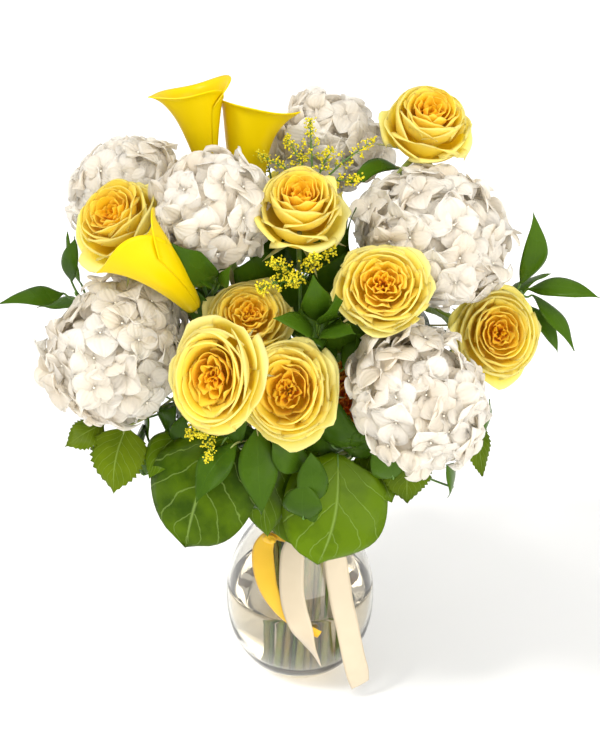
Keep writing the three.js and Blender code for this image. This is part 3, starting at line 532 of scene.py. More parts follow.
def add_node(
    tree: bpy.types.NodeTree, kind: str, inputs: dict | None = None, out: int | str = 0,
    stops: dict | None = None, **settings: object,
) -> bpy.types.NodeSocket | None:
    """Adds a node with its settings and links.

    Args:
        tree: The material's node tree.
        kind: The node's type, without the word that they all start with.
        inputs: Values or source sockets by the name or index of the socket.
        out: The name or index of the output that is wanted.
        stops: Colours by their place, for a colour ramp.
        **settings: Properties of the node.

    Returns:
        That output, or none if the node has no outputs.
    """
    made = tree.nodes.new(f"ShaderNode{kind}")
    for key, value in settings.items():
        setattr(made, key, value)
    if stops:
        elements = made.color_ramp.elements
        while len(elements) < len(stops):
            elements.new(0.5)
        for element, (place, code) in zip(elements, stops.items()):
            element.position = place
            element.color = linear(code)
    for socket, value in (inputs or {}).items():
        if isinstance(value, bpy.types.NodeSocket):
            tree.links.new(value, made.inputs[socket])
        else:
            made.inputs[socket].default_value = value
    return made.outputs[out] if made.outputs else None


class Finish:
    """What all finishes share: a name, nodes that are laid, and a material that is made once."""

    name: str

    def lay(self, add: Callable) -> None:
        """Lays the nodes.

        Args:
            add: Adds one node and gives its output.
        """
        raise NotImplementedError

    @cached_property
    def material(self) -> bpy.types.Material:
        """Makes the material when it is first asked for.

        Returns:
            The material.
        """
        made = bpy.data.materials.new(self.name)
        made.use_nodes = True
        made.node_tree.nodes.clear()
        self.lay(partial(add_node, made.node_tree))
        return made


def spots(size: float) -> float:
    """Gives the scale of a noise from the size of its spots in millimetres."""
    return 1.0 / (size * MM)


def lit_through(
    add: Callable, colour: bpy.types.NodeSocket, bump: bpy.types.NodeSocket, skin: dict, share: float
) -> None:
    """Ends the tree of a thin plant tissue: its skin, and the light that shines through it from behind.

    Args:
        add: The function that adds nodes to the tree.
        colour: The colour of the tissue.
        bump: The relief of its face.
        skin: The other settings of its skin.
        share: How much of what is seen has come through from behind.
    """
    face = add("BsdfPrincipled", {"Base Color": colour, "Normal": bump, **skin})
    through = add("BsdfTranslucent", {"Color": colour, "Normal": bump})
    add("OutputMaterial", {"Surface": add("MixShader", {0: share, 1: face, 2: through})})


@dataclass(frozen=True)
class PetalFinish(Finish):
    """Petal tissue: thin and soft, matt with a faint sheen, and lit through from behind.

    The colour runs from the petal's claw to its rim and from the outer petals to the heart: in the roses
    and the calla that is their own colour, in the hydrangea the beige towards the claw is painted shade.
    Heights are in metres, spots in millimetres, and the veins in radians of their wave from the midline to
    the edge.
    """

    name: str
    shades: dict[float, str]
    rim: str = "#FFFFFF"
    rim_share: float = 0.0
    along_weight: float = 0.3
    depth_weight: float = 0.6
    tone_weight: float = 0.12
    mottle_weight: float = 0.12
    mottle: float = 11.1
    glow: float = 0.3
    roughness: float = 0.55
    veins: float = 34.0
    vein_height: float = 0.00012
    sheen: float = 0.12
    gloss: float = 0.25

    rim_from = 0.55

    def lay(self, add: Callable) -> None:
        """Lays the nodes.

        Args:
            add: Adds one node and gives its output.
        """
        along, across, depth, tone = (add("Attribute", out="Fac", attribute_name=key) for key in MARKS)
        spot = add("TexCoord", out="Object")
        mottle = add("TexNoise", {"Vector": spot, "Scale": spots(self.mottle), "Detail": 3.0})
        # Darker towards each petal's claw and towards the heart: their own colour in roses and calla, painted
        # shade at the hydrangea's claws.
        claw = add("Math", {0: 1.0, 1: along}, operation="SUBTRACT")
        total = add("Math", {0: mottle, 1: self.mottle_weight}, operation="MULTIPLY")
        weights = ((tone, self.tone_weight), (depth, self.depth_weight), (claw, self.along_weight))
        for source, weight in weights:
            total = add("Math", {0: source, 1: weight, 2: total}, operation="MULTIPLY_ADD")
        colour = add("ValToRGB", {"Fac": total}, stops=self.shades)
        if self.rim_share:
            outer = {0: along, 1: self.rim_from, 2: 1.0, 3: 0.0, 4: self.rim_share}
            edge = add("MapRange", outer, interpolation_type="SMOOTHSTEP")
            young = add("Math", {0: 1.0, 1: depth}, operation="SUBTRACT")
            edge = add("Math", {0: edge, 1: young}, operation="MULTIPLY")
            colour = add("Mix", {"Factor": edge, 6: colour, 7: linear(self.rim)}, out=2, data_type="RGBA")
        fan = add("Math", {0: across, 1: self.veins}, operation="MULTIPLY")
        ridge = add("Math", {0: fan}, operation="SINE")
        height = add("Math", {0: mottle, 1: ridge}, operation="ADD")
        bump = add("Bump", {"Strength": 0.35, "Distance": self.vein_height, "Height": height})
        skin = {"Roughness": self.roughness, "Sheen Weight": self.sheen, "Specular IOR Level": self.gloss}
        lit_through(add, colour, bump, skin, self.glow)


@dataclass(frozen=True)
class LeafFinish(Finish):
    """Leaf blade: a waxy cuticle over green tissue, with a pale midrib and side veins sunk in its face.

    Clouds and grain are in millimetres and the relief in metres.
    """

    name: str
    dark: str
    light: str
    vein: str
    side_veins: float = 7.0
    slant: float = 0.35
    vein_share: float = 0.35
    roughness: float = 0.38
    relief: float = 0.0005
    glow: float = 0.15

    cloud = 26.3
    grain = 1.11
    rib_width = 0.05
    stray = 0.22
    gloss = 0.08

    def lay(self, add: Callable) -> None:
        """Lays the nodes.

        Args:
            add: Adds one node and gives its output.
        """
        along, across, tone = (
            add("Attribute", out="Fac", attribute_name=key) for key in ("along", "across", "tone")
        )
        spot = add("TexCoord", out="Object")
        cloud = add("TexNoise", {"Vector": spot, "Scale": spots(self.cloud), "Detail": 4.0})
        grain = add("TexNoise", {"Vector": spot, "Scale": spots(self.grain), "Detail": 2.0})
        off = add("Math", {0: across}, operation="ABSOLUTE")
        near = {0: off, 1: 0.0, 2: self.rib_width, 3: 1.0, 4: 0.0}
        rib = add("MapRange", near, interpolation_type="SMOOTHSTEP")
        stray = add("Math", {0: cloud, 1: self.stray, 2: along}, operation="MULTIPLY_ADD")
        lag = add("Math", {0: off, 1: -self.slant, 2: stray}, operation="MULTIPLY_ADD")
        phase = add("Math", {0: lag, 1: self.side_veins * 2 * math.pi}, operation="MULTIPLY")
        crest = {0: add("Math", {0: phase}, operation="COSINE"), 1: 0.95, 2: 1.0, 3: 0.0, 4: 0.6}
        side = add("MapRange", crest, interpolation_type="SMOOTHSTEP")
        veins = add("Math", {0: rib, 1: side}, operation="MAXIMUM")
        mixed = add("Math", {0: tone, 1: 0.5, 2: cloud}, operation="MULTIPLY_ADD")
        green = add("ValToRGB", {"Fac": mixed}, stops={0.35: self.dark, 0.95: self.light})
        pale = add("Math", {0: veins, 1: self.vein_share}, operation="MULTIPLY")
        colour = add("Mix", {"Factor": pale, 6: green, 7: linear(self.vein)}, out=2, data_type="RGBA")
        quilt = add("Math", {0: veins, 1: -0.8, 2: cloud}, operation="MULTIPLY_ADD")
        height = add("Math", {0: grain, 1: 0.08, 2: quilt}, operation="MULTIPLY_ADD")
        bump = add("Bump", {"Strength": 0.6, "Distance": self.relief, "Height": height})
        rough = add("MapRange", {0: cloud, 3: self.roughness - 0.08, 4: self.roughness + 0.1})
        lit_through(add, colour, bump, {"Roughness": rough, "Specular IOR Level": self.gloss}, self.glow)


@dataclass(frozen=True)
class StemFinish(Finish):
    """Green stem: fine fibres along it under a thin skin, with blotches of a second tone.

    Fibres and clouds are in millimetres and the relief in metres.
    """

    name: str
    base: str
    blotch: str
    roughness: float = 0.45

    fibre = 1.43
    stretch = 0.12
    cloud = 22.2
    relief = 0.0002

    def lay(self, add: Callable) -> None:
        """Lays the nodes.

        Args:
            add: Adds one node and gives its output.
        """
        spot = add("TexCoord", out="Object")
        drawn = add("Mapping", {"Vector": spot, "Scale": (1.0, 1.0, self.stretch)})
        fibre = add("TexNoise", {"Vector": drawn, "Scale": spots(self.fibre), "Detail": 3.0})
        cloud = add("TexNoise", {"Vector": spot, "Scale": spots(self.cloud), "Detail": 3.0})
        tone = add("Attribute", out="Fac", attribute_name="tone")
        mixed = add("Math", {0: tone, 1: 0.5, 2: cloud}, operation="MULTIPLY_ADD")
        colour = add("ValToRGB", {"Fac": mixed}, stops={0.4: self.base, 1.0: self.blotch})
        bump = add("Bump", {"Strength": 0.4, "Distance": self.relief, "Height": fibre})
        skin = add("BsdfPrincipled", {"Base Color": colour, "Roughness": self.roughness, "Normal": bump})
        add("OutputMaterial", {"Surface": skin})


@dataclass(frozen=True)
class ClearFinish(Finish):
    """Glass or water: lamps shine through it, so that what stands in it is lit as it is in the real one.

    Its swells are in millimetres across and in metres high.
    """

    name: str
    tint: str
    index: float
    ripple: float

    swell = 71.4

    def lay(self, add: Callable) -> None:
        """Lays the nodes.

        Args:
            add: Adds one node and gives its output.
        """
        spot = add("TexCoord", out="Object")
        swell = add("TexNoise", {"Vector": spot, "Scale": spots(self.swell), "Detail": 1.0})
        bump = add("Bump", {"Strength": 0.5, "Distance": self.ripple, "Height": swell})
        tint = linear(self.tint)
        look = {"Base Color": tint, "Roughness": 0.0, "IOR": self.index, "Transmission Weight": 1.0}
        body = add("BsdfPrincipled", {**look, "Normal": bump})
        clear = add("BsdfTransparent", {"Color": tint})
        shadow = add("LightPath", out="Is Shadow Ray")
        add("OutputMaterial", {"Surface": add("MixShader", {0: shadow, 1: body, 2: clear})})


@dataclass(frozen=True)
class SatinFinish(Finish):
    """Woven satin ribbon: fine ribs across it, a soft lengthwise sheen and a slightly darker selvage.

    The ribs are about 0.6 mm apart, coarser than real weft, so that they show.
    """

    name: str
    colour: str
    shade: str

    ribs = 260
    cloud = 16.7
    relief = 0.0001
    glow = 0.2

    def lay(self, add: Callable) -> None:
        """Lays the nodes.

        Args:
            add: Adds one node and gives its output.
        """
        along, across = (add("Attribute", out="Fac", attribute_name=key) for key in ("along", "across"))
        spot = add("TexCoord", out="Object")
        cloud = add("TexNoise", {"Vector": spot, "Scale": spots(self.cloud), "Detail": 3.0})
        phase = add("Math", {0: along, 1: self.ribs * 2 * math.pi}, operation="MULTIPLY")
        weft = add("Math", {0: phase}, operation="SINE")
        edge = add("Math", {0: across}, operation="ABSOLUTE")
        selvage = add("MapRange", {0: edge, 1: 0.9, 2: 0.97, 3: 0.0, 4: 0.5})
        shade = add("Math", {0: cloud, 1: 0.5, 2: selvage}, operation="MULTIPLY_ADD")
        tones = {"Factor": shade, 6: linear(self.colour), 7: linear(self.shade)}
        colour = add("Mix", tones, out=2, data_type="RGBA")
        height = add("Math", {0: weft, 1: 0.5, 2: cloud}, operation="MULTIPLY_ADD")
        bump = add("Bump", {"Strength": 0.25, "Distance": self.relief, "Height": height})
        look = {"Base Color": colour, "Roughness": 0.42, "Normal": bump, "Sheen Weight": 0.3}
        through = add("BsdfTranslucent", {"Color": colour})
        both = add("MixShader", {0: self.glow, 1: add("BsdfPrincipled", look), 2: through})
        add("OutputMaterial", {"Surface": both})


# Rose petal: thin soft tissue. It looks matt and glows a little, pale at the rim and amber in the heart.
ROSE_PETAL = PetalFinish(
    "garden_rose_petal",
    {0.0: "#FFFABC", 0.15: "#FFF582", 0.35: "#FFED38", 0.62: "#FFDF1A", 0.98: "#FFBA0A"}, "#FFFDD8",
    rim_share=0.45, glow=0.58, depth_weight=0.55, along_weight=0.25,
)
# The same tissue in the deeper flower. It looks warm orange, also where it lies in the shade.
DEEP_ROSE_PETAL = PetalFinish(
    "amber_rose_petal", {0.0: "#FFDC60", 0.3: "#FFC840", 0.6: "#FFB430", 0.95: "#FF9C26"}, "#FFE488",
    rim_share=0.5, glow=0.6,
)
# Hydrangea petal: paper-thin tissue over raised veins. It looks a warm white whose shade stays light; the
# beige that it takes towards each petal's claw, in the middle of its floret, is painted shade, and the rest
# of its tone varies at random.
HYDRANGEA_PETAL = PetalFinish(
    "hydrangea_petal", {0.0: "#FDFBF8", 0.4: "#FAF7F1", 0.7: "#F5EFE4", 1.0: "#EADFCB"},
    along_weight=0.35, depth_weight=0.2, tone_weight=0.4, glow=0.58, roughness=0.6, veins=18.0,
    vein_height=0.0004,
)
# Flower stalks and buds of the hydrangea: dull fibres. They look like small cream beads in the florets; their
# pale cream is their own colour, made near white as painted light that keeps the gaps between the florets
# bright.
HYDRANGEA_CORE = StemFinish("hydrangea_pedicels", "#F6F1DF", "#FAF6EA", 0.7)
# Calla spathe: thick smooth waxy tissue. It looks an even strong yellow with a broad soft light on it.
CALLA_SPATHE = PetalFinish(
    "calla_spathe", {0.0: "#F0D805", 0.4: "#EFD504", 0.75: "#E6CE08", 1.0: "#BDBE22"}, along_weight=0.7,
    depth_weight=0.0, tone_weight=0.05, glow=0.28, roughness=0.36, sheen=0.0, gloss=0.18, veins=26.0,
)
# Calla spadix: crowded pollen. It looks grainy and has no shine.
SPADIX = StemFinish("calla_spadix", "#F0A81C", "#F6C53A", 0.7)
# Ruscus leaf: a smooth cuticle without side veins. It looks dark and fairly glossy.
RUSCUS_LEAF = LeafFinish(
    "ruscus_leaf", "#1D3302", "#385206", "#5F8A2A", side_veins=0.0, vein_share=0.3, roughness=0.26,
    relief=0.0003, glow=0.08,
)
# Salal leaf: leather under a cuticle. It looks quilted between few pale veins.
SALAL_LEAF = LeafFinish(
    "salal_leaf", "#2E4602", "#5C7808", "#A2BE64", side_veins=4.0, slant=0.5, vein_share=0.42,
    roughness=0.27, relief=0.002,
)
# Hydrangea leaf: a thin dull blade. It looks a fresh green with close side veins.
HYDRANGEA_LEAF = LeafFinish(
    "hydrangea_leaf", "#304803", "#5E7208", "#9AB356", slant=0.45, vein_share=0.4, roughness=0.42,
    relief=0.001,
)
# Flower stem: a fibrous green skin. It looks fresh with a dull light on it and a few brownish places.
GREEN_STEM = StemFinish("green_stem", "#6E9432", "#A8946C")
# Stem of the cut foliage: the same skin, harder. It looks darker.
SPRIG_STEM = StemFinish("sprig_stem", "#3E6B24", "#6A8C3A")
# Goldenrod flower: tiny open florets. They look grainy and have no shine.
GOLDENROD_FLOWER = StemFinish("goldenrod_flower", "#EBD81C", "#C6BC1C", 0.8)
# Soda-lime glass, blown: slightly uneven walls. It looks clear with dark edges and bent lights.
GLASS = ClearFinish("soda_lime_glass", "#F1EFE9", 1.5, 0.0006)
# Water in which cut stems stand: clear and a little warm. It breaks the stems at its level.
WATER = ClearFinish("vase_water", "#E0D8C8", 1.333, 0.0002)
# Polyester satin, woven and left bare: it looks smooth, with a long soft light on it.
YELLOW_SATIN = SatinFinish("yellow_satin", "#FFD42E", "#F6BC18")
CREAM_SATIN = SatinFinish("cream_satin", "#E0D1B6", "#CEBC9C")


# ---- roses


@dataclass(frozen=True)
class PetalRound:
    """Petals of one round of a rose, from the first to the last, in shares of the bloom's half size.

    Spread is half the angle that a petal takes, in degrees.
    """

    count: int
    rim: tuple[float, float]
    height: tuple[float, float]
    depth: tuple[float, float]
    spread: float
    belly: tuple[float, float]
    curl: float
    ruffle: float = 0.015
    fold: float = 0.0
    base: float = -0.7
    flare: float = 0.0


def guard_round(count: int = 5) -> PetalRound:
    """Gives the wide outer petals that lie open under the cup."""
    return PetalRound(
        count, (0.97, 0.9), (-0.02, 0.26), (0.0, 0.08), 48.0, (0.8, 0.9), 0.05, 0.045, flare=0.22
    )


ROSE_ROUNDS = {
    RoseForm.CUPPED: (
        guard_round(),
        PetalRound(5, (0.76, 0.72), (0.36, 0.52), (0.05, 0.15), 56.0, (0.96, 1.2), 0.11),
        PetalRound(6, (0.65, 0.58), (0.58, 0.68), (0.15, 0.3), 58.0, (1.02, 1.18), 0.09, 0.02, base=-0.3),
        PetalRound(7, (0.53, 0.44), (0.7, 0.7), (0.3, 0.5), 56.0, (1.02, 1.14), 0.075, 0.02, base=-0.1),
        PetalRound(8, (0.42, 0.28), (0.69, 0.64), (0.5, 0.8), 54.0, (1.0, 1.1), 0.035, 0.03, 0.06, 0.1),
        PetalRound(9, (0.25, 0.06), (0.62, 0.52), (0.75, 1.0), 58.0, (1.0, 1.1), 0.025, 0.04, 0.2, 0.1),
    ),
    RoseForm.OPEN: (
        guard_round(),
        PetalRound(6, (0.8, 0.76), (0.38, 0.5), (0.05, 0.15), 48.0, (0.98, 1.16), 0.11),
        PetalRound(7, (0.71, 0.64), (0.55, 0.63), (0.15, 0.3), 48.0, (1.0, 1.16), 0.09, 0.02, base=-0.3),
        PetalRound(9, (0.6, 0.5), (0.64, 0.69), (0.3, 0.45), 44.0, (1.0, 1.14), 0.075, 0.025, base=-0.1),
        PetalRound(11, (0.49, 0.34), (0.69, 0.71), (0.45, 0.7), 38.0, (1.0, 1.12), 0.04, 0.03, 0.14, 0.1),
        PetalRound(14, (0.31, 0.06), (0.7, 0.68), (0.65, 1.0), 40.0, (1.0, 1.08), 0.03, 0.03, 0.4, 0.2),
    ),
    RoseForm.DEEP: (
        guard_round(6),
        PetalRound(5, (0.8, 0.76), (0.42, 0.56), (0.05, 0.15), 56.0, (0.96, 1.16), 0.11),
        PetalRound(6, (0.71, 0.65), (0.62, 0.68), (0.15, 0.25), 58.0, (1.0, 1.14), 0.09, 0.02, base=-0.3),
        PetalRound(6, (0.61, 0.54), (0.68, 0.64), (0.25, 0.4), 58.0, (1.0, 1.12), 0.075, 0.02, base=-0.2),
        PetalRound(8, (0.5, 0.38), (0.46, 0.4), (0.5, 0.75), 48.0, (1.0, 1.1), 0.04, 0.04, 0.1, -0.2),
        PetalRound(12, (0.35, 0.05), (0.42, 0.3), (0.7, 1.0), 46.0, (1.0, 1.08), 0.03, 0.05, 0.35, -0.1),
    ),
}


@dataclass(frozen=True)
class RosePetal:
    """One petal of a rose, in the bloom's own axes with a radius of 1.

    Its corners drop a little, its rim ruffles and curls over from a share of its length on, and one side
    edge stands further out than the other, so that the petals overlap.
    """

    turn: float
    radius: float
    height: float
    form: PetalRound
    phase: float
    strength: float

    claw = 0.06
    corner_drop = 0.16
    ruffle_from = 0.66
    curl_from = 0.72
    curl_round = 2.3
    overlap = 0.045
    narrow = 0.3

    def point(self, across: float, along: float) -> Vector:
        """Gives a point of the petal.

        Args:
            across: From -1 to 1.
            along: From 0 at the claw to 1 at the rim.

        Returns:
            The point in the bloom's own axes.
        """
        off = abs(across)
        form = self.form
        rise = along * (1.0 - self.corner_drop * off**2.6)
        lower, upper = form.belly
        scale = 1.0 if form.flare else self.radius
        radius = bezier(rise, (self.claw, lower * scale, upper * scale, self.radius))
        waist, shoulder = (blend(form.base, self.height, share) for share in (0.12, 0.66))
        height = bezier(rise, (form.base, waist, shoulder, self.height))
        edge = clamp((along - self.ruffle_from) / (1.0 - self.ruffle_from)) ** 2
        bend = self.curl_round * clamp((along - self.curl_from) / (1.0 - self.curl_from)) ** 1.5
        wave = math.sin(across * 4.0 + self.phase) + 0.4 * math.sin(across * 9.0 + 2.3 * self.phase)
        curl, ruffle = form.curl * self.strength * (0.7 + 0.5 * off), form.ruffle * self.strength
        radius *= 1.0 + self.overlap * across - form.fold * off
        radius += curl * math.sin(bend) + edge * ruffle * wave
        height += edge * (ruffle * math.sin(across * 5.0 + 1.7 * self.phase) - 0.06 * off)
        height -= curl * (1.0 - math.cos(bend))
        if form.flare:
            tip = clamp(1.0 - off) ** 1.4 * edge
            radius += form.flare * tip * 0.7
            height -= form.flare * tip * 0.35 + 0.1 * edge * off
        width = blend(self.narrow, 1.0, smooth_step(along / 0.55))
        angle = self.turn + math.radians(form.spread) * across * width
        return Vector((radius * math.cos(angle), radius * math.sin(angle), height))


@dataclass(frozen=True)
class Rose:
    """A garden rose bloom of many overlapping petals, with the thickness of a petal in millimetres."""

    head: Head
    columns: int = 14
    rows: int = 13
    thick: float = 0.3

    def petals(self, draw: random.Random) -> list[tuple[RosePetal, float]]:
        """Gives the bloom's petals from the outside in.

        Args:
            draw: The source of their chances.

        Returns:
            The petals, each with its depth in the flower.
        """
        made = []
        for form in ROSE_ROUNDS[self.head.form]:
            for k in range(form.count):
                share = k / (form.count - 1)
                petal = RosePetal(
                    len(made) * GOLDEN_ANGLE + draw.uniform(-0.12, 0.12),
                    blend(*form.rim, share) * draw.uniform(0.95, 1.04),
                    blend(*form.height, share) + draw.uniform(-0.045, 0.045),
                    form, draw.uniform(0.0, 6.0), draw.uniform(0.5, 1.7),
                )
                made.append((petal, blend(*form.depth, share)))
        return made

    def build(self) -> None:
        """Builds the bloom in place of its CAD node."""
        draw = random.Random(self.head.name)
        sculpt = Sculpt()
        for petal, depth in self.petals(draw):
            sculpt.sheet(self.columns, self.rows, petal.point, depth, draw.random())
        sculpt.move(list(sculpt.mesh.verts), lambda points: CROWD.place(self.head, points))
        name, slot = self.head.name, self.head.slot
        finish = DEEP_ROSE_PETAL if slot == "deep_rose_petal" else ROSE_PETAL
        sculpt.make(f"{name}_bloom", [name], slot, [finish], self.thick)


# ---- hydrangeas


@dataclass(frozen=True)
class Hydrangea:
    """A hydrangea head: a ball of four-petalled florets that overlap, over a core of pale stalks.

    Petals are in millimetres. Core, seats and lumps are shares of the head's half size.
    """

    head: Head
    petal_length: float = 21.0
    petal_width: float = 12.5
    core: float = 0.7
    seat: float = 0.74
    layer: float = 0.06
    lumps: float = 0.035
    wobble: float = 0.3
    covered: float = 1.84
    bead: float = 1.1
    thick: float = 0.2

    lump_rates = (3.4, 3.4, 4.0)

    def _petal(
        self, turn: float, cup: float, droop: float, lift: float, size: float, wave: float
    ) -> Surface:
        """Gives the surface of one petal in its floret's axes, in millimetres.

        Args:
            turn: Its angle round the floret.
            cup: How far its middle arches up, as a share of its length.
            droop: How far its tip turns up, or down if negative, likewise.
            lift: How far above the floret's seat it starts.
            size: Its size, as a share of a full petal.
            wave: The height of its waves.

        Returns:
            The surface.
        """
        length, width = self.petal_length * size, self.petal_width * size

        def surface(across: float, along: float) -> Vector:
            """Gives the petal's point."""
            reach = math.sin(along * math.pi / 2)
            shape = max(0.0, math.sin(math.pi * (0.02 + 0.98 * reach) ** 0.85)) ** 0.6
            out = length * (0.04 + 0.96 * reach)
            side = width * shape * across
            rise = lift + cup * reach * (1.3 - reach) * length + droop * length * reach**3
            rise += 0.12 * side * across + wave * reach * math.sin(2.8 * across + 9.0 * cup)
            rise += 0.5 * wave * reach**2 * math.sin(5.0 * reach + 3.0 * across)
            cosine, sine = math.cos(turn), math.sin(turn)
            return Vector((out * cosine - side * sine, out * sine + side * cosine, rise))

        return surface

    def build(self) -> None:
        """Builds the head in place of its CAD node."""
        draw = random.Random(self.head.name)
        sculpt = Sculpt()
        axes = self.head.axes
        shift = [draw.uniform(0.0, 6.0) for _ in range(3)]
        for k in range(self.head.florets):
            level = 1.0 - self.covered * (k + 0.5) / self.head.florets
            ring = math.sqrt(1.0 - level * level)
            angle = k * GOLDEN_ANGLE + draw.uniform(-0.12, 0.12)
            way = Vector((ring * math.cos(angle), ring * math.sin(angle), level))
            waves = (math.sin(rate * x + start) for rate, x, start in zip(self.lump_rates, way, shift))
            depth = self.seat + self.layer * (k % 3) + self.lumps * sum(waves) + draw.uniform(-0.03, 0.03)
            seat = CROWD.place(self.head, np.array([tuple(way * depth)]))[0]
            out = axes[0] * way.x + axes[1] * way.y + axes[2] * way.z
            tilt = Vector([draw.gauss(0, self.wobble) for _ in range(3)])
            self._floret(sculpt, Vector(seat), frame_facing((out + tilt).normalized()), draw)
        core = sculpt.ball((0, 0, -0.04), (self.core,) * 3, 3, 0.5, 1)
        sculpt.move(core, lambda points: CROWD.place(self.head, points))
        name, finishes = self.head.name, [HYDRANGEA_PETAL, HYDRANGEA_CORE]
        sculpt.make(f"{name}_florets", [name], self.head.slot, finishes, self.thick)

    def _floret(self, sculpt: Sculpt, seat: Vector, axes: Sequence[Vector], draw: random.Random) -> None:
        """Adds one floret: four petals in two layers round a bead.

        Args:
            sculpt: The mesh that it joins.
            seat: Its middle.
            axes: Its axes, of which the last one is where it faces.
            draw: The source of its chances.
        """
        spin, tone, size = draw.uniform(0.0, math.pi), draw.random(), draw.uniform(0.86, 1.1)
        for p in range(4):
            flat = self._petal(
                spin + p * math.pi / 2 + draw.uniform(-0.14, 0.14), draw.uniform(0.08, 0.55),
                draw.uniform(-0.42, 0.12), 0.9 * (p % 2), size * draw.uniform(0.85, 1.1),
                draw.uniform(1.2, 3.6),
            )

            def placed(across: float, along: float, flat: Surface = flat) -> Vector:
                """Puts the petal's point in its place on the head."""
                spot = flat(across, along)
                return seat + axes[0] * spot.x + axes[1] * spot.y + axes[2] * spot.z

            sculpt.sheet(4, 6, placed, draw.uniform(0.0, 0.5), tone)
        sculpt.ball(seat + axes[2] * 1.2, (self.bead,) * 3, 1, tone, 1)


# ---- calla lilies


@dataclass(frozen=True)
class Calla:
    """A calla lily: one spathe rolled into a trumpet that overlaps at the front, round a spadix.

    The CAD's mouth gives the stem its way. The spathe bends over its knee to the mouth of the dressed
    flower, whose rim rises towards its high side. Throat and lip are shares of the mouth's radius, and the
    low front and the start of the rolled rim are shares of the spathe's length.
    """

    name: str
    base: Triple
    mouth: Triple
    tip: Triple
    high: Triple
    opens: Triple
    knee: Triple
    throat: float = 0.24
    radius: float = 31.0
    wrap: float = 1.12
    shift: float = 0.3
    thick: float = 0.9

    low_front = 0.26
    lip = 0.18
    point_width = 0.17
    roll_from = 0.86

    def _axis(self, share: float) -> Vector:
        """Gives a point on the spathe's bent axis."""
        base, mouth, knee = Vector(self.base), Vector(self.opens), Vector(self.knee)
        return base.lerp(knee, share).lerp(knee.lerp(mouth, share), share)

    def _surface(self, across: float, along: float) -> Vector:
        """Gives a point of the spathe.

        Args:
            across: From -1 to 1, from edge to edge.
            along: From 0 at the stem to 1 at the rim.

        Returns:
            The point in millimetres.
        """
        mouth, tip = Vector(self.opens), Vector(self.tip)
        angle = (across * self.wrap - self.shift) * math.pi
        share = along * (1.0 - self.low_front * across**4)
        way = (self._axis(share + 0.02) - self._axis(share - 0.02)).normalized()
        arm = tip - mouth
        side = (arm - way * arm.dot(way)).normalized()
        out = side * math.cos(angle) + way.cross(side) * math.sin(angle)
        flare = self.throat + (1.0 - self.lip - self.throat) * share + self.lip * share**4
        point = math.exp(-(((across - self.shift / self.wrap) / self.point_width) ** 2)) * along**6
        roll = clamp((along - self.roll_from) / (1.0 - self.roll_from)) ** 2 * (1.0 - point)
        wave = math.sin(across * 8.0 + 1.0) * along**4
        radius = self.radius * (flare * (1.0 - 0.05 * across) + 0.1 * roll + 0.07 * wave)
        rim = self._axis(share) + out * radius
        rise = out.dot(Vector(self.high)) * along**3
        rim += way * (rise - 0.1 * self.radius * roll + 0.08 * self.radius * wave)
        return rim + (tip - rim) * point * 0.9

    def build(self) -> None:
        """Builds the flower in place of its CAD node."""
        sculpt = Sculpt()
        sculpt.sheet(56, 30, self._surface)
        points = [self._axis(share) for share in (0.15, 0.4, 0.6, 0.72, 0.78)]
        sculpt.tube(points, [3.0, 3.3, 2.8, 2.0, 0.5], 10, 20, material=1)
        finishes = [CALLA_SPATHE, SPADIX]
        sculpt.make(f"{self.name}_flower", [self.name], "calla_spathe", finishes, self.thick)


CALLAS = (
    Calla(
        "calla_top", (-86, 84, 512), (-98, 88, 582), (-138, 66, 589), (6, -4, 0), (-97, 88, 594),
        (-92, 86, 555),
    ),
    Calla(
        "calla_middle", (-48, 92, 504), (-40, 98, 550), (2, 85, 569), (-5, -11, 0), (-42, 98, 568),
        (-50, 96, 535), 0.5,
    ),
    Calla(
        "calla_left", (-96, -50, 440), (-134, -98, 508), (-170, -104, 497), (0, 0, 0), (-146, -92, 523),
        (-110, -113, 505),
    ),
)


# ---- leaves and sprigs


class Outline(Enum):
    """Leaf outlines: half widths, as shares of the widest, at even shares of the blade's length."""

    LANCE = (0.06, 0.34, 0.66, 0.88, 0.98, 0.97, 0.86, 0.68, 0.44, 0.2, 0.0)
    OVAL = (0.06, 0.56, 0.82, 0.95, 1.0, 0.98, 0.91, 0.78, 0.58, 0.3, 0.0)
    ROUND = (0.1, 0.62, 0.86, 0.97, 1.0, 1.0, 0.96, 0.87, 0.71, 0.44, 0.0)
    TOOTHED = (0.06, 0.56, 0.84, 0.98, 1.0, 0.95, 0.84, 0.68, 0.46, 0.2, 0.0)


